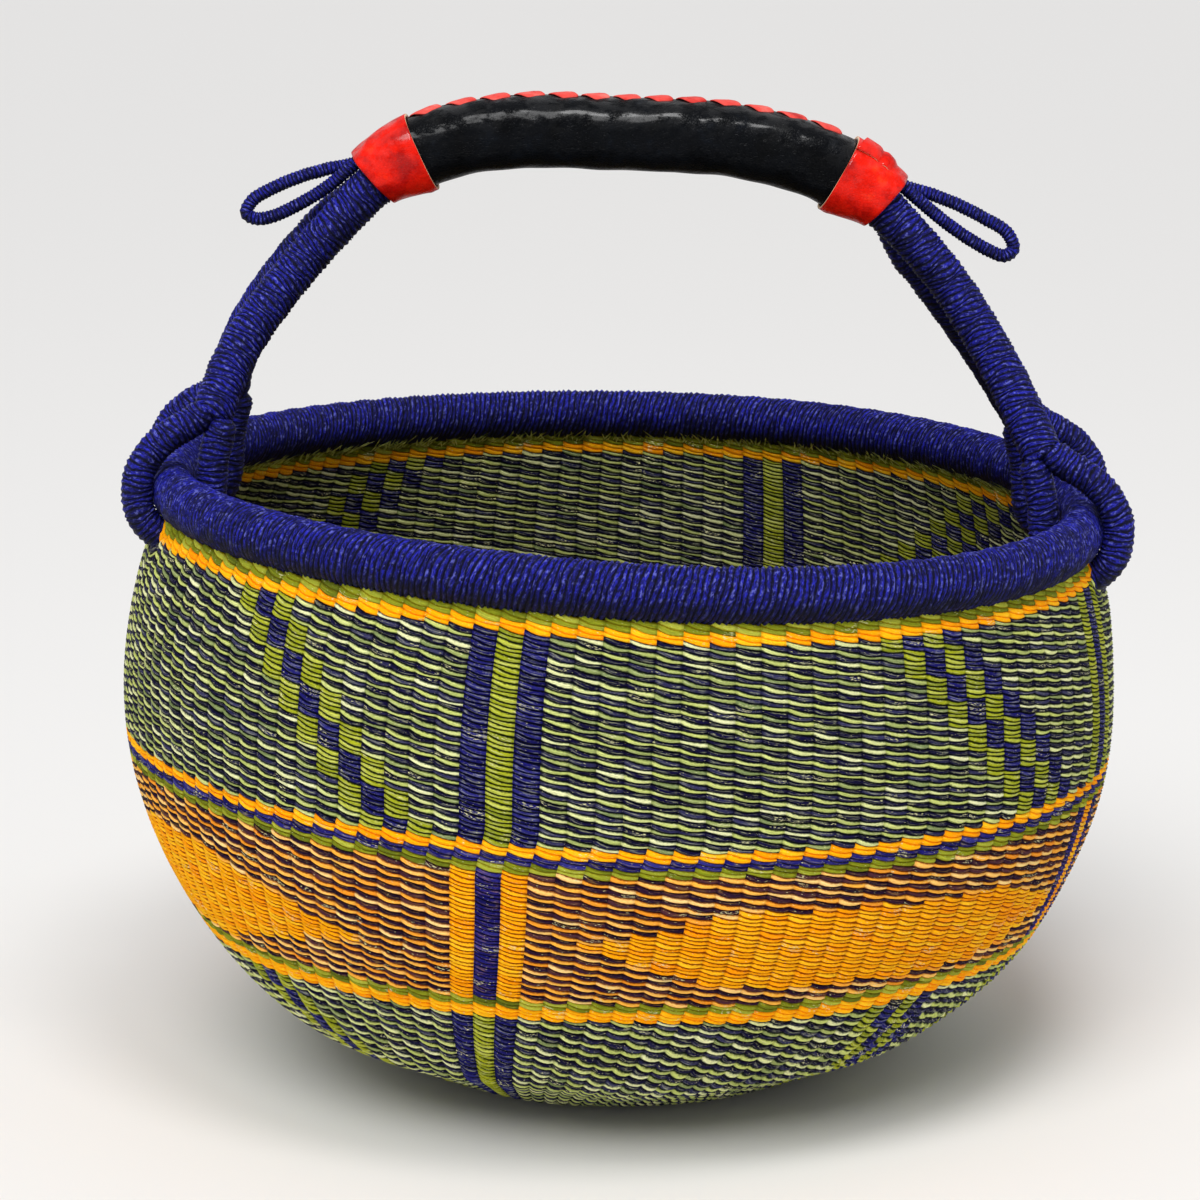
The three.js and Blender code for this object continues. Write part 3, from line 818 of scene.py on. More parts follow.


# %% [markdown]
# ## The finish of twined grass
# Each strand is a bundle of split grass, rolled damp and dyed. Up close it has fine lengthwise fibres and a
# few pale specks where a fibre was broken or missed by the dye. The material also paints shade into the
# colour of the gaps where two strands press together or one dives under the next, and paints highlights on
# the polished fibres.
# All this could be modelled, fibre by fibre, but it is far finer than a face, so the material draws it in the
# strand's own coordinates.


# %% Twined grass
def twined_grass(name, slim, bright, gap_shade_loss, painted_glint):
    """slim sets how far the painted shade of the gaps reaches into each strand, and so how thin the strands
    look, bright how light they are, gap_shade_loss how much red, green and blue that painted shade takes
    away, and painted_glint the painted highlight laid on the polished fibres"""
    grass = Finish(name)
    shown = grass.node("ShaderNodeAttribute", {"attribute_name": "dye"}, {})
    place = grass.node("ShaderNodeUVMap", {"uv_map": "strand"}, {})
    beside_stake = grass.middle(grass.node("ShaderNodeSeparateXYZ", {}, {0: place}, output=0))
    beside_edge = grass.middle(grass.node("ShaderNodeSeparateXYZ", {}, {0: place}, output=1))
    fibres = grass.streaks(place, (2.2, 7.0, 1.0), 3.0, 0.65)  # long ones, with the strand
    frizz = grass.streaks(place, (9.0, 5.0, 1.0), 3.0, 0.7)  # short ones, which roughen its edges
    polish = grass.streaks(place, (1.5, 4.3, 1.0), 3.0, 0.65)
    broken = grass.streaks(place, (6.5, 7.8, 1.3), 1.0, 0.5)
    worn = grass.streaks(place, (0.6, 0.3, 1.0), 1.0, 0.5)  # whole floats with more broken fibres

    # painted shade: the gaps between strands, and the ends where a float dives under the next one, are
    # darkened in the colour
    under = 1.0 - grass.steps(beside_stake, 0.0, 0.3)  # where a float dives under the next one
    painted_gap_shade = 1.0 - grass.steps(beside_edge + (frizz - 0.5) * 0.8, slim, slim + 0.5 + under * 0.25)
    depth = (bright + fibres * 1.2 + frizz * 0.8) * (1.0 - under * 0.2)
    shadow = grass.node("ShaderNodeCombineXYZ", {}, {
        channel: depth * (1.0 - painted_gap_shade * lost) for channel, lost in enumerate(gap_shade_loss)
    })
    shaded = grass.mix(1.0, shown, shadow, "MULTIPLY")
    # painted highlight: paler glints on the polished fibres near the middle of each float
    glint_mask = grass.steps(polish, 0.5, 0.66) * (1.0 - painted_gap_shade) * (1.0 - under)
    polished = grass.mix(glint_mask, shaded, painted_glint, "SCREEN")
    speck = grass.steps(broken + grass.steps(worn, 0.6, 0.68) * 0.14, 0.69, 0.74) * (1.0 - painted_gap_shade)
    grass.surface(
        Base_Color=grass.mix(speck, polished, dye(232, 228, 172)),
        Roughness=0.85 - fibres * 0.2,
        Specular_IOR_Level=0.06,
        Normal=grass.bump(fibres + frizz, 0.8, 0.0006),
    )
    return grass


# the three numbers are what the painted shade of the gaps takes from red, green and blue, and the last colour
# is the painted highlight
green_weave = twined_grass("green_weave", 0.16, 0.1, (0.98, 0.97, 0.94), dye(140, 142, 110))
orange_weave = twined_grass("orange_weave", 0.08, 0.3, (0.74, 0.88, 0.9), dye(120, 90, 20))
line_weave = twined_grass("line_weave", 0.0, 0.35, (0.3, 0.5, 0.9), dye(130, 118, 20))
print("nodes of the twined grass:", len(green_weave.nodes))

# %% [markdown]
# ## Weave the bowl
# The bowl is woven in the same runs as the measured model: each run of colours is its own piece, because
# its strands start and end there. Near the foot there are about half as many stakes, since new ones are
# added as the bowl widens, and about a quarter in the base. Both parts of the bottom are joined into
# one piece.

# %% Weave the bowl
FOOT_STAKES, BASE_STAKES = 64, 32
flare_row = int(np.argmin(np.abs(row_ends - down_to(FLARE_TOP))))
woven_runs = [  # piece, measured node, first row, row after the last, finish, slot
    ("woven_top_line", "top_line", 0, run_rows["upper_field"][0], line_weave, "line_weave"),
    ("woven_upper_wall", "upper_wall", *run_rows["upper_field"], green_weave, "green_weave"),
    ("woven_middle_line", "middle_line", run_rows["middle_orange"][0], run_rows["orange_field"][0],
     line_weave, "line_weave"),
    ("woven_middle_wall", "middle_wall", *run_rows["orange_field"], orange_weave, "orange_weave"),
    ("woven_low_line", "low_line", run_rows["low_green"][0], run_rows["lower_field"][0],
     line_weave, "line_weave"),
    ("woven_lower_wall", "lower_wall", run_rows["lower_field"][0], flare_row, green_weave, "green_weave"),
    ("woven_flare", "flare_wall", flare_row, run_rows["bottom_field"][0], green_weave, "green_weave"),
]
for name, node, first, last, finish, slot in woven_runs:
    dress(woven(name, first, last), finish, slot, node)

bottom = woven("woven_bottom", run_rows["bottom_field"][0], HALVED, straight=(False, True))
halved = woven("woven_bottom_halved", HALVED, run_rows["base_field"][0], FOOT_STAKES, (True, True))
pick(bottom, halved)
bpy.ops.object.join()
dress(bottom, green_weave, "green_weave", "bottom_wall")
base = woven("woven_base", run_rows["base_field"][0], last_row, BASE_STAKES, (True, False))
dress(base, green_weave, "green_weave", "base_weave")
pick(strand)
bpy.ops.object.delete()

# %% [markdown]
# ## Lines in space
# A cord follows a line. Blender has curves for that, but the windings need to know the point and the
# direction at any distance along it, so the line is worked out here: given a few points, a smooth line
# is drawn through all of them, and it can be asked for both.


# %% Lines
def smooth_line(points, between=24):
    """A smooth line through all the points, close together where the points are close. Each part runs
    from p1 to p2; m1 and m2 are its directions there, which also heed the points before and after"""
    given = np.asarray(points, float)
    given = np.vstack([2 * given[0] - given[1], given, 2 * given[-1] - given[-2]])
    line = []
    for p0, p1, p2, p3 in zip(given, given[1:], given[2:], given[3:]):
        t0, t1, t2 = (max(np.linalg.norm(b - a), 1e-4) ** 0.5 for a, b in ((p0, p1), (p1, p2), (p2, p3)))
        m1 = ((p1 - p0) / t0 - (p2 - p0) / (t0 + t1) + (p2 - p1) / t1) * t1
        m2 = ((p2 - p1) / t1 - (p3 - p1) / (t1 + t2) + (p3 - p2) / t2) * t1
        for t in np.arange(between) / between:
            a, b = 2 * t ** 3 - 3 * t ** 2 + 1, t ** 3 - 2 * t ** 2 + t
            c, d = -2 * t ** 3 + 3 * t ** 2, t ** 3 - t ** 2
            line.append(a * p1 + b * m1 + c * p2 + d * m2)
    line.append(given[-2])
    return np.array(line)


class Line:
    """A line that can be asked for a point and a direction at any distance along it"""

    LOOK = 0.6  # the direction is taken over this distance to both sides

    def __init__(self, points, closed=False):
        self.points = np.asarray(points, float)
        self.closed = closed
        steps = np.linalg.norm(np.diff(self.points, axis=0), axis=1)
        self.along = np.concatenate([[0], np.cumsum(steps)])
        self.length = self.along[-1]

    def at(self, distance):
        distance = distance % self.length if self.closed else np.clip(distance, 0, self.length)
        return np.stack([np.interp(distance, self.along, self.points[:, k]) for k in range(3)], -1)

    def heading(self, distance):
        if not self.closed:
            distance = np.clip(distance, self.LOOK, self.length - self.LOOK)
        ahead = self.at(distance + self.LOOK) - self.at(distance - self.LOOK)
        return ahead / np.linalg.norm(ahead, axis=-1, keepdims=True)

    def frame(self, distance, lean):
        """The point, and two directions square to the line: the side that leans towards lean, and up"""
        heading = self.heading(distance)
        side = lean - heading * (lean * heading).sum(-1, keepdims=True)
        side = side / np.linalg.norm(side, axis=-1, keepdims=True)
        return self.at(distance), side, np.cross(heading, side)


# %% [markdown]
# ## Wound cords
# The rim, the handle and the loops are all bundles of straw wound with thin strips of navy grass. Plain
# tubes with a striped bump would look flat at their edges, so the strips are real. One turn is modelled
# as a flat strip with a raised middle, repeated with an Array modifier, and then wrapped round the line
# as a screw thread. The strips waver a little, because a hand wound them.


# %% Winding helper
def strip_of_turns(name, sides, crest, count):
    """Turns side by side, still flat: x goes once round the cord, and y counts turns"""
    strip = flat_grid(name, sides, 2)
    sharp_border(strip)
    for edge in strip.data.edges:
        a, b = (strip.data.vertices[i].co for i in edge.vertices)
        if abs(a.x - b.x) < 1e-5:  # a short end, which meets the next turn and has to look smooth
            edge.use_edge_sharp = False
    nudge(strip, lambda p: 0.1 < p.y < 0.9, (0, 0, crest))
    repeat(strip, count, (0, 1, 0))
    return strip


def hand_waver(angle, share, turns):
    """How far the turns stray along the cord, in slow waves that come round to the same value"""
    wave = np.sin(2 * angle + round(turns / 9) * share) + np.sin(3 * angle - round(turns / 5) * share + 2)
    return wave + 0.8 * np.sin(angle + round(turns / 3.3) * share + 4)


def wound(name, line, size, lean, pitch, starts, sides, crest, waver, dome=0.0):
    """A cord of windings. size gives its half width and half height, lean the direction of its side,
    starts how many strips are wound at once, and dome the length over which an open end closes"""
    turns = round(line.length / pitch)
    extra = 0 if line.closed else abs(starts)
    strip = strip_of_turns(name, sides, crest, turns + extra)
    x, y, z = points_of(strip).T
    half_width, half_height = size(np.array([line.length / 2]))
    girth = float(((half_width + half_height) * np.pi)[0])
    write_uv(strip, "strand", np.stack([x * girth / 10, y], -1)[corners_of(strip)])

    angle = 2 * np.pi * x
    along = y + starts * x - (extra if starts > 0 else 0)
    share = 2 * np.pi * along / turns
    distance = (along + waver * hand_waver(angle, share, turns)) * line.length / turns
    if not line.closed:
        distance = np.clip(distance, 0, line.length)
    uneven = 0.35 * crest * np.sin(round(turns / 6) * share + 5 * angle)
    proud = z + np.where(z > 0, uneven, 0) - crest * 0.5
    closing = 1.0
    if dome > 0:
        near_end = np.clip(np.minimum(distance, line.length - distance) / dome, 0, 1)
        closing = np.sqrt(1 - (1 - near_end) ** 2)

    centre, side, up = line.frame(distance, lean(distance))
    half_width, half_height = size(distance)
    reach = side * (closing * (half_width + proud) * np.cos(angle))[:, None]
    reach += up * (closing * (half_height + proud) * np.sin(angle))[:, None]
    place_points(strip, centre + reach)
    # how far each point lies on the underside, where the material paints the windings darker as shade
    below = 0.5 - 0.5 * reach[:, 2] / np.maximum(np.linalg.norm(reach, axis=1), 1e-6)
    write_number(strip, "below", below)
    weld(strip)
    smooth_shading(strip)
    print(name, "turns", turns, "faces", len(strip.data.polygons))
    return strip


def round_size(radius):
    """The size of a cord that is round and equally thick all along"""
    return lambda distance: (np.full(distance.shape, radius), np.full(distance.shape, radius))


# %% [markdown]
# ## The finish of wound grass
# The windings are dyed a deep navy blue. Their sheen is painted into the colour as short pale highlights, and
# the gaps between the strips and the underside are painted an almost black shade, darker than the lamps alone
# would make them, so how far a point lies on the underside is kept in an attribute. Streaks run along each
# strip.


# %% Wound grass
def wound_grass(name):
    grass = Finish(name)
    place = grass.node("ShaderNodeUVMap", {"uv_map": "strand"}, {})
    beside_edge = grass.middle(grass.node("ShaderNodeSeparateXYZ", {}, {0: place}, output=1))
    fibres = grass.streaks(place, (5.0, 4.0, 1.0), 4.0, 0.75)
    patches = grass.streaks(place, (0.9, 0.3, 1.0), 3.0, 0.6)
    glint_dashes = grass.streaks(place, (4.2, 1.7, 1.0), 3.0, 0.7)

    # painted shade: the gaps between the strips are darkened in the colour
    painted_gap_shade = 1.0 - grass.steps(beside_edge + (fibres - 0.5) * 0.8, 0.1, 0.85)
    blue = grass.mix(grass.steps(fibres, 0.38, 0.62), dye(8, 8, 46), dye(40, 44, 192))
    patchy = grass.mix(grass.steps(patches, 0.4, 0.62) * 0.6, blue, dye(10, 9, 54))
    # painted highlight: short pale glints laid along the strips
    with_glints = grass.mix(grass.steps(glint_dashes, 0.53, 0.64) * 0.65, patchy, dye(118, 124, 226))
    # painted shade: the underside and the gaps are darkened to almost black, more than the lamps would shade
    # them
    deep = grass.steps(grass.number("below") + (patches - 0.5) * 0.3, 0.35, 0.9) * 0.8
    grass.surface(
        Base_Color=grass.mix(1.0 - (1.0 - painted_gap_shade * 0.93) * (1.0 - deep), with_glints, dye(3, 3, 14)),
        Roughness=0.65 - fibres * 0.25,
        Specular_IOR_Level=0.14,
        Normal=grass.bump(fibres, 1.0, 0.0008),
    )
    return grass


navy_grass = wound_grass("navy_grass")
print("nodes of the wound grass:", len(navy_grass.nodes))

# %% [markdown]
# ## Wind the rim
# The ends of the stakes are folded over and bundled at the rim, and some five hundred turns of grass
# bind them. The strips lean a little, all the same way, because six are wound side by side. The rim's
# line is a circle that is settled as the bowl is, so the two fit.

# %% Rim
RIM_HALF_WIDTH, RIM_HALF_HEIGHT = 8.0, 10.1
around = np.linspace(0, 2 * np.pi, 1441)
rim_line = Line(settle(np.stack([
    RIM_RADIUS * np.sin(around), -RIM_RADIUS * np.cos(around), np.full(around.shape, RIM_HEIGHT),
], -1)), closed=True)


def outward(distance):
    place = rim_line.at(distance) * (1, 1, 0) - (MOUTH_SHIFT, 0, 0)
    return place / np.linalg.norm(place, axis=-1, keepdims=True)


def rim_size(distance):
    return np.full(distance.shape, RIM_HALF_WIDTH), np.full(distance.shape, RIM_HALF_HEIGHT)


rim = wound("rim_windings", rim_line, rim_size, outward,
            pitch=2.35, starts=-6, sides=22, crest=0.8, waver=0.1)
dress(rim, navy_grass, "navy_grass", "rim_binding")

# %% [markdown]
# ## The four loops
# Each end of a handle bundle forks, and its two legs close into a loop that goes over the rim, down
# outside it, in through the wall and up again inside. All four follow the same route, so it is given
# once, in radii of the leg, seen from the side, and set up at each fork.

# %% Loops through the wall
LOOP_RADIUS, FORK_INSET, FORK_RISE = 6.0, 14.0, 27.0
loop_route = np.array([  # outwards and upwards from the middle of the rim
    [-2.25, 5.5], [-1.25, 4.58], [0.25, 3.75], [1.53, 2.58], [2.3, 1.08], [2.37, -0.33], [1.97, -1.67],
    [0.92, -2.63], [-0.33, -2.83], [-1.53, -2.32], [-2.23, -1.1], [-2.4, 0.33], [-2.53, 1.83],
    [-2.87, 3.33], [-3.33, 4.83],
]) * LOOP_RADIUS
UP = np.array([0, 0, 1.0])
BACKWARD = np.array([0, 1.0, 0])
feet = {}
for name, angle in FORKS.items():
    turn = math.radians(angle)
    out = np.array([math.sin(turn), -math.cos(turn), 0])
    along_rim = np.array([-out[1], out[0], 0])
    on_rim = settle(out * RIM_RADIUS + UP * RIM_HEIGHT)
    feet[name] = on_rim - out * FORK_INSET + UP * FORK_RISE
    loop_line = Line(smooth_line([on_rim + out * far + UP * high for far, high in loop_route]))
    loop = wound(name + "_windings", loop_line, round_size(LOOP_RADIUS),
                 lambda distance: np.broadcast_to(along_rim, distance.shape + (3,)),
                 pitch=2.1, starts=1, sides=18, crest=0.55, waver=0.17, dome=5.0)
    dress(loop, navy_grass, "navy_grass", name + "_loop")

# %% [markdown]
# ## The arch
# The handle's two bundles share one arch, from the middle between the left feet to the middle between
# the right ones. It isn't a plain arc: the photograph shows it flatter on top, where the grip is, and
# steeper at the sides, so it goes through nine measured points.

# %% Arch
HALF_SPAN, HANDLE_RISE, ARCH_FOOT = 165.0, 121.0, RIM_HEIGHT + 20.7
arch_shape = [  # shares of the half span and of the rise
    (-0.89, 0.33), (-0.68, 0.69), (-0.485, 0.926), (-0.28, 0.998), (0, 0.996),
    (0.285, 0.97), (0.52, 0.87), (0.735, 0.6), (0.885, 0.3),
]
arch = Line(smooth_line([
    (feet["left_front"] + feet["left_back"]) / 2,
    *[np.array([x * HALF_SPAN, 0, ARCH_FOOT + z * HANDLE_RISE]) for x, z in arch_shape],
    (feet["right_front"] + feet["right_back"]) / 2,
], 60))
GRIP_LENGTH, GRIP_OFFSET = 173.0, -1.5
COLLAR_LENGTH, COLLAR_OVERLAP = 21.0, 4.0
grip_start = arch.length / 2 + GRIP_OFFSET - GRIP_LENGTH / 2
grip_end = grip_start + GRIP_LENGTH
print("arch", round(arch.length, 1), "mm, grip from", round(grip_start, 1), "to", round(grip_end, 1))

# %% [markdown]
# ## The two handle bundles
# The handle is two wound bundles, side by side. Near each end they part towards their own fork. Inside
# the grip they are squeezed flat against each other, and they swell again outside it, so their size
# changes along the line. The back one sags a little more at the right, as it does in the photograph.

# %% Bundles
BUNDLE_RADIUS = 8
HELD_HALF_WIDTH, HELD_HALF_HEIGHT = 6.2, 9.5  # in the grip
MOUTH_HALF_WIDTH, MOUTH_HALF_HEIGHT = 7.2, 8.2  # where they leave the collars
SPLIT_LENGTH, SPLIT_CURVE = 76, 1.4
HALF_SPACING, BACK_SHIFT, BACK_DROP = 0.25, 4, 3


def ease(value):
    value = np.clip(value, 0, 1)
    return value * value * (3 - 2 * value)


def bundle_size(distance):
    into_grip = np.minimum(distance - grip_start, grip_end - distance)
    held = ease((into_grip + COLLAR_LENGTH) / COLLAR_LENGTH)
    free = ease((-into_grip - COLLAR_LENGTH) / COLLAR_LENGTH)
    width = MOUTH_HALF_WIDTH + (HELD_HALF_WIDTH - MOUTH_HALF_WIDTH) * held
    height = MOUTH_HALF_HEIGHT + (HELD_HALF_HEIGHT - MOUTH_HALF_HEIGHT) * held
    return width + (BUNDLE_RADIUS - width) * free, height + (BUNDLE_RADIUS - height) * free


def bundle_line(back, left_foot, right_foot):
    """The middle line of a bundle; back is 1 for the back one and -1 for the front one"""
    distance = np.linspace(0, arch.length, 900)
    place = arch.at(distance)
    to_left = np.maximum(0, 1 - distance / SPLIT_LENGTH) ** SPLIT_CURVE
    to_right = np.maximum(0, 1 - (arch.length - distance) / SPLIT_LENGTH) ** SPLIT_CURVE
    together = 1 - to_left - to_right
    place[:, 1] += back * (bundle_size(distance)[0] + HALF_SPACING) * together
    if back > 0:
        left = ease((grip_start - COLLAR_LENGTH - distance) / COLLAR_LENGTH) * together
        right = ease((distance - grip_end - COLLAR_LENGTH) / COLLAR_LENGTH) * together
        place[:, 0] -= BACK_SHIFT * (left + right)
        place[:, 2] -= BACK_DROP * right
    place += (left_foot - arch.points[0]) * to_left[:, None]
    place += (right_foot - arch.points[-1]) * to_right[:, None]
    return Line(place)


def lean_back(distance):
    return np.broadcast_to(BACKWARD, distance.shape + (3,))


for name, back in (("front", -1), ("back", 1)):
    line = bundle_line(back, feet["left_" + name], feet["right_" + name])
    scale = arch.length / line.length
    bundle = wound(name + "_bundle_windings", line, lambda distance: bundle_size(distance * scale), lean_back,
                   pitch=2.05, starts=-3, sides=22, crest=0.6, waver=0.2, dome=6.0)
    dress(bundle, navy_grass, "navy_grass", name + "_handle_bundle")

# %% [markdown]
# ## The finish of leather
# The grip is thin black hide with fine grain and small creases. Hands have polished its upper side in
# patches, which catch the light. One roughness for all would look like plastic, so the polish is a thin
# clear coat that comes and goes, and only where the piece says that hands have touched it. The collars
# are a brighter, patchy red hide with a cream raw edge.


# %% Leather
def mark_polish(piece, share):
    """Keeps how much hands have polished each point of a leather piece"""
    write_number(piece, "polished", np.clip(share, 0, 1))


def leather(name, dark, main, bright, rough, crease_depth):
    hide = Finish(name)
    place = hide.object_place()
    clouds = hide.noise(place, 95.0, 3.0, 0.6)
    grain = hide.node("ShaderNodeTexVoronoi", {"feature": "DISTANCE_TO_EDGE"}, {
        "Vector": place, "Scale": 900.0,
    })
    creases = hide.streaks(place, (170.0, 60.0, 90.0), 4.0, 0.65)
    polish = hide.streaks(place, (110.0, 190.0, 190.0), 4.0, 0.65)
    patchy = hide.mix(hide.steps(clouds, 0.3, 0.55), dark, main)
    pores = hide.steps(grain, 0.0, 0.12) * 0.12
    hide.surface(
        Base_Color=hide.mix(hide.steps(clouds, 0.55, 0.8), patchy, bright),
        Roughness=rough + (clouds - 0.5) * 0.25,
        Specular_IOR_Level=0.07,
        Coat_Weight=hide.steps(polish, 0.44, 0.58) * hide.number("polished") * 0.6,
        Coat_Roughness=0.13,
        Normal=hide.bump(creases + hide.noise(place, 420.0, 2.0, 0.6) * 0.35 + pores, 0.7, crease_depth),
    )
    return hide


black_leather = leather("black_leather", dye(3, 4, 6), dye(7, 9, 13), dye(15, 20, 28), 0.34, 0.0016)
red_leather = leather("red_leather", dye(170, 10, 6), dye(228, 26, 10), dye(252, 58, 24), 0.36, 0.0011)
lace_leather = leather("lace_leather", dye(184, 36, 34), dye(226, 78, 70), dye(240, 132, 122), 0.42, 0.0004)
raw_edge = leather("raw_leather_edge", dye(190, 130, 90), dye(240, 208, 170), dye(250, 226, 196), 0.7, 0.0003)
print("nodes of the leather:", len(black_leather.nodes))

# %% [markdown]
# ## The grip
# One piece of black leather is wrapped round both bundles, so that its two long edges meet along the
# top. A cloth simulation would wrinkle it, but it is pulled tight over a firm core, so a flat grid that
# is wrapped round the arch is closer to the real one. Its section is a circle that is a little square.
# The lace pulls the edges up between its holes.

# %% Grip leather
GRIP_HALF_HEIGHT, GRIP_HALF_DEPTH, SQUARENESS = 14.0, 15.9, 2.6
LEATHER_THICKNESS, SEAM_GAP, SEAM_REACH = 1.3, 0.8, 0.035  # the reach is a share of the way round
LACE_TURNS, LACE_MARGIN = 13, 6.5


def boxy(angle):
    """How far a point of the outline lies to the side and up, in shares of the two half sizes"""
    c, s = np.cos(angle), np.sin(angle)
    return np.sign(c) * np.abs(c) ** (2 / SQUARENESS), np.sign(s) * np.abs(s) ** (2 / SQUARENESS)


grip = flat_grid("leather_grip", 72, 168)
x, y = points_of(grip).T[:2]
slit = math.asin(SEAM_GAP / 2 / GRIP_HALF_HEIGHT)
angle = math.pi / 2 + slit + (2 * math.pi - 2 * slit) * x
distance = grip_start + y * GRIP_LENGTH
side_share, up_share = boxy(angle)
near_seam = np.exp(-((np.minimum(x, 1 - x) / SEAM_REACH) ** 2))
laced = np.clip((y * GRIP_LENGTH - LACE_MARGIN) / (GRIP_LENGTH - 2 * LACE_MARGIN), 0, 1)
lace_pull = np.sin(np.pi * LACE_TURNS * 2 * laced)
lumps = 0.35 * np.sin(distance / 5.3 + 3 * np.sin(2 * angle)) + 0.3 * np.sin(distance / 3.1 + 4 * angle)
lumps += 0.25 * np.sin(distance / 8.7 - 3 * angle + 1)
swell = lumps * 0.35 + near_seam * (0.15 + 0.15 * lace_pull)
centre, side, up = arch.frame(distance, lean_back(distance))
place_points(grip, centre + side * ((GRIP_HALF_DEPTH + swell) * side_share)[:, None]
             + up * ((GRIP_HALF_HEIGHT + swell) * up_share)[:, None])
mark_polish(grip, up_share + 0.05)
thicken(grip, LEATHER_THICKNESS)
smooth_shading(grip)
dress(grip, black_leather, "black_leather", "grip_leather")
print("grip faces", len(grip.data.polygons))

# %% [markdown]
# ## The lace
# A flat red lace is whipped over the seam in thirteen turns. Each turn comes up through a slit behind
# the seam, lies broad and flat across it, slanting to the right, and dives into a slit in front. Inside
# it is folded narrow and runs back to the next slit. A flat tube is wrapped along this route, because
# the real lace is one strand too. Over the seam every point keeps its distance from the crown of the
# grip, so the lace hugs the leather.

# %% Lace
SLIT_AWAY = 4.3
GAIN_ACROSS, GAIN_INSIDE = 0.6, 0.4  # how much of the pitch a turn gains across the seam, and inside
LACE_HALF_THICKNESS, NARROW, SPREAD = 0.45, 1.3, 3.4  # half width inside, and what it gains on the seam
lace = flat_grid("red_lace", 10, LACE_TURNS * 32)
x, y = points_of(lace).T[:2]
turned = np.clip(y * LACE_TURNS, 1e-3, LACE_TURNS - 0.5)
over = np.clip((turned % 1) * 2, 0, 1)  # how far the turn has come across the seam
under = np.clip((turned % 1) * 2 - 1, 0, 1)  # how far it has come back inside
pitch = (GRIP_LENGTH - 2 * LACE_MARGIN) / LACE_TURNS
along = grip_start + LACE_MARGIN + pitch * (np.floor(turned) + GAIN_ACROSS * over + GAIN_INSIDE * under)
back = SLIT_AWAY * np.where(under > 0, -np.cos(np.pi * under), np.cos(np.pi * over))
lift = -1.1 + 1.95 * np.sin(np.pi * over) ** 0.45 - 1.6 * np.sin(np.pi * under)
half_width = NARROW + SPREAD * np.sin(np.pi * over) ** 0.3
corner = 2 * math.pi * x
ended = np.where((y < 1e-6) | (y > 1 - 1e-6), 0.0, 1.0)
aside = ended * half_width * np.sign(np.cos(corner)) * np.abs(np.cos(corner)) ** 0.5
proud = ended * LACE_HALF_THICKNESS * np.sign(np.sin(corner)) * np.abs(np.sin(corner)) ** 0.7
slant = math.atan2(GAIN_ACROSS * pitch, 2 * SLIT_AWAY)
back = back + aside * math.sin(slant)
centre, side, up = arch.frame(along + aside * math.cos(slant), lean_back(along))
crown = GRIP_HALF_HEIGHT * (1 - np.abs(back / GRIP_HALF_DEPTH) ** SQUARENESS) ** (1 / SQUARENESS)
place_points(lace, centre + side * back[:, None] + up * (crown + lift + proud + 0.05 * aside)[:, None])
weld(lace)
smooth_shading(lace)
dress(lace, lace_leather, "red_leather", "grip_lace")
print("lace turns", LACE_TURNS, "faces", len(lace.data.polygons))

# %% [markdown]
# ## The collars
# A red collar closes each end of the grip and hides where the lace ends. It is a strip of leather,
# wrapped tight and tapering towards the bundles, with its pale raw edges showing. Like the grip, it is a
# flat grid wrapped round the arch, so that it follows the leather under it.

# %% Collars
COLLAR_PROUD = 1.9  # how far the collar stands out from the outline of the grip
COLLAR_MOUTH_HEIGHT, COLLAR_MOUTH_DEPTH, COLLAR_MOUTH_LIFT = 13, 17.2, 2.2  # half sizes, and the lift


def tapered(half_size, at_mouth, taper):
    """A half size of the collar: a little over the grip's own at first, and another at its mouth"""
    return half_size + COLLAR_PROUD + (at_mouth - half_size - COLLAR_PROUD) * taper


def on_collar(angle, y, start, direction, proud):
    """A point on a collar: its angle round the grip, its share of the collar's length, how proud it is"""
    distance = start + direction * y * COLLAR_LENGTH
    taper = np.maximum(0, (y * COLLAR_LENGTH - COLLAR_OVERLAP) / (COLLAR_LENGTH - COLLAR_OVERLAP))
    half_height = tapered(GRIP_HALF_HEIGHT, COLLAR_MOUTH_HEIGHT, taper)
    half_depth = tapered(GRIP_HALF_DEPTH, COLLAR_MOUTH_DEPTH, taper)
    folds = 0.35 * np.sin(3 * angle + y * 5) * y + 0.25 * np.sin(7 * angle - y * 9) * y + proud
    side_share, up_share = boxy(angle)
    centre, side, up = arch.frame(distance, lean_back(distance))
    return (centre + side * ((half_depth + folds) * side_share)[:, None]
            + up * ((half_height + folds) * up_share + COLLAR_MOUTH_LIFT * taper)[:, None])


def cut_hide(piece, thickness, *nodes):
    """Red on both faces, and the pale raw edge round them"""
    piece.data.materials.append(red_leather.material)
    piece.data.materials.append(raw_edge.material)
    thicken(piece, thickness, 1)
    smooth_shading(piece)
    enter(piece, "red_leather", *nodes)
    print(piece.name, "faces", len(piece.data.polygons))


def collar(name, start, direction, node):
    piece = flat_grid(name, 64, 20)
    x, y = points_of(piece).T[:2]
    angle = 2 * math.pi * x * direction + math.pi
    place_points(piece, on_collar(angle, y, start, direction, 0.0))
    mark_polish(piece, 0.5 + boxy(angle)[1])
    weld(piece)
    cut_hide(piece, 1.2, node)


collar("left_leather_collar", grip_start + COLLAR_OVERLAP, -1, "left_collar")
collar("right_leather_collar", grip_end - COLLAR_OVERLAP, 1, "right_collar")

# %% [markdown]
# ## The tucked end
# On the right collar the strip of leather ends in a short tongue that is folded over near the top and
# tucked under the turn below it. It is a small sheet that lies on the collar, made with the collar's
# own helper: it stands up in a soft fold at its near edge and dives in at its far end.

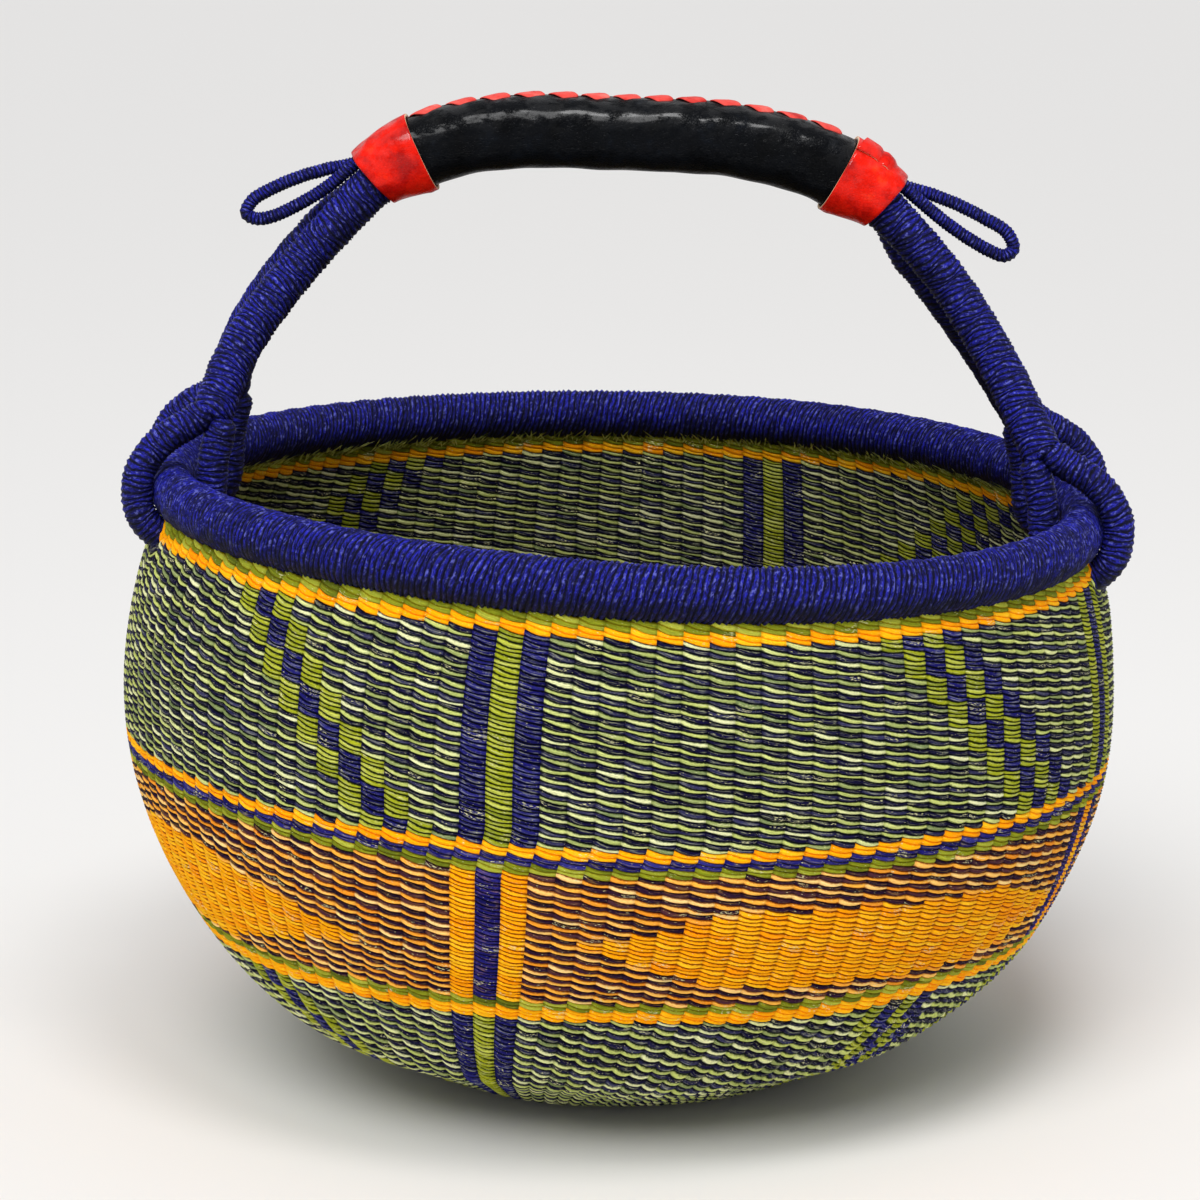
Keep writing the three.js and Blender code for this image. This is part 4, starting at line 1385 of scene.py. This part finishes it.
# %% Tucked end
TONGUE_FROM, TONGUE_WIDTH = 88, 46  # degrees round the collar
tongue = flat_grid("tucked_leather_end", 18, 18)
x, y = points_of(tongue).T[:2]
angle = math.radians(TONGUE_FROM) + math.radians(TONGUE_WIDTH) * x - 0.10 * (y - 0.5)
fold = 1.7 * np.sin(np.pi * np.clip(x * 0.85 + 0.15, 0, 1)) ** 0.7 * (1 - y ** 3)
dive = 1.4 * np.maximum(0, y - 0.8) / 0.2
crease = 0.9 * np.exp(-((y - 0.42 - 0.2 * x) / 0.07) ** 2)
rise = 0.5 + fold - (dive + crease)
place_points(tongue, on_collar(angle, 0.12 + 0.72 * y - 0.12 * x, grip_end - COLLAR_OVERLAP, 1, rise))
mark_polish(tongue, np.ones(len(x)))
cut_hide(tongue, 0.9)

# %% [markdown]
# ## The tie loops
# A small wound cord comes out of each collar, doubles back and goes in again. Both ends are tucked
# under the leather. It is too stiff to hang, so its route is a given list of points, in radii
# of the cord: how far out of the collar, how high and how far back.

# %% Tie loops
TIE_RADIUS = 2.6
TIE_TUCK, TIE_HEIGHT, TIE_SPACING = 7, 11, 3
left_tie = [
    (0.58, 4.23, 1.15), (4.38, 6.38, 0.62), (8.42, 8.38, 0.15), (13.08, 9.96, 0), (15.96, 10.46, 0),
    (17.88, 9.69, -0.15), (17.27, 8, -0.31), (14.85, 6.54, -0.46), (11.54, 5.54, -0.54),
    (7.04, 4.62, -0.77), (2.38, 4.31, -1.15),
]
right_tie = [
    (0.38, 4.23, 1.15), (4.19, 6.08, 0.62), (8.46, 7.81, 0.15), (12.81, 9.04, 0), (16.81, 9.77, 0),
    (19.15, 8.69, -0.15), (18.85, 7, -0.31), (16.46, 6, -0.46), (13, 5.23, -0.54),
    (9.46, 4.73, -0.77), (3.85, 4.38, -1.15),
]


def tie_loop(name, mouth, direction, shape, node):
    def spot(out, high, back):
        distance = np.array([mouth + min(out, 0) * direction])
        centre, side, up = arch.frame(distance, lean_back(distance))
        ahead = arch.heading(distance)
        return (centre + ahead * max(out, 0) * direction + up * high)[0] + BACKWARD * back

    points = [spot(-depth, TIE_HEIGHT, TIE_SPACING) for depth in (TIE_TUCK, TIE_TUCK / 2)]
    points += [spot(*(share * TIE_RADIUS for share in step)) for step in shape]
    points += [spot(-depth, TIE_HEIGHT, -TIE_SPACING) for depth in (TIE_TUCK / 2, TIE_TUCK)]
    line = Line(smooth_line(points))
    piece = wound(name, line, round_size(TIE_RADIUS), lean_back,
                  pitch=1.55, starts=1, sides=10, crest=0.4, waver=0.08, dome=2.0)
    dress(piece, navy_grass, "navy_grass", node)
    print(name, "is", round(line.length, 1), "mm long")


left_mouth = grip_start + COLLAR_OVERLAP - COLLAR_LENGTH
right_mouth = grip_end - COLLAR_OVERLAP + COLLAR_LENGTH
tie_loop("left_tie_windings", left_mouth, -1, left_tie, "left_tie_loop")
tie_loop("right_tie_windings", right_mouth, 1, right_tie, "right_tie_loop")

# %% [markdown]
# ## Frayed ends under the rim
# Inside, just under the rim, the cut ends of green strands stand out as a short fringe. Hair particles
# could make it, but they don't export, so one tiny tapered end is repeated, and each copy is set at its
# own place and angle. All of them lie in one piece.

# %% Frayed ends
ENDS = 1100
blade = flat_grid("frayed_ends", 3, 3)
repeat(blade, ENDS, (2, 0, 0))
x, y = points_of(blade).T[:2]
which = np.floor(x / 2 + 1e-4).astype(int)
around_blade = 2 * math.pi * (x - 2 * which)
turn = chance.uniform(-math.pi, math.pi, ENDS)[which]
length = chance.uniform(3.5, 9.0, ENDS)[which]
thickness = chance.uniform(0.3, 0.6, ENDS)[which]
lean = chance.uniform(-1.2, 1.2, ENDS)[which]
inward = chance.uniform(0.5, 0.95, ENDS)[which]
low = chance.uniform(216.6, 218.6, ENDS)[which]  # the height at which each one grows out
outwards = np.stack([np.sin(turn), -np.cos(turn), np.zeros(len(turn))], -1)
sideways = np.stack([np.cos(turn), np.sin(turn), np.zeros(len(turn))], -1)
reach = y * length
bend = inward * (0.4 + 0.6 * y)
thick = thickness * np.where((y < 0.01) | (y > 0.99), 0, 1 - 0.5 * y)
radius = BELLY - DRAW_IN - WALL_THICKNESS - 0.2 - reach * bend
points = outwards * radius[:, None] + sideways * (reach * lean * 0.6)[:, None]
points[:, 2] += low + reach * 0.6
points += (outwards * (thick * np.cos(around_blade))[:, None]
           + sideways * (thick * np.sin(around_blade))[:, None])
place_points(blade, settle(points))
weld(blade, 1e-6)
write_uv(blade, "strand", np.zeros((len(blade.data.loops), 2)))
frayed_green = Finish("frayed_green")
patch = frayed_green.noise(frayed_green.object_place(), 240.0, 2.0, 0.6)
frayed_green.surface(
    Base_Color=frayed_green.mix(frayed_green.steps(patch, 0.35, 0.65), dye(96, 110, 36), dye(206, 212, 120)),
    Roughness=0.75,
)
dress(blade, frayed_green, "green_weave")
print("frayed ends", ENDS)

# %% [markdown]
# ## Hidden straw
# The core of the rim and the padding of the grip are straw. They lie inside other pieces, so the
# measured solids are good enough and nothing new is modelled, but they get a straw finish too.

# %% Straw on the hidden nodes
straw = Finish("straw_core")
stalks = straw.streaks(straw.object_place(), (60.0, 60.0, 900.0), 3.0, 0.6)
straw.surface(
    Base_Color=straw.mix(stalks, dye(150, 128, 74), dye(214, 196, 136)),
    Roughness=0.8,
    Normal=straw.bump(stalks, 0.5, 0.0005),
)
for node in ("rim_core", "grip_padding"):
    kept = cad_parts[node]
    kept.data.materials.clear()
    kept.data.materials.append(straw.material)
    print("straw on", node)
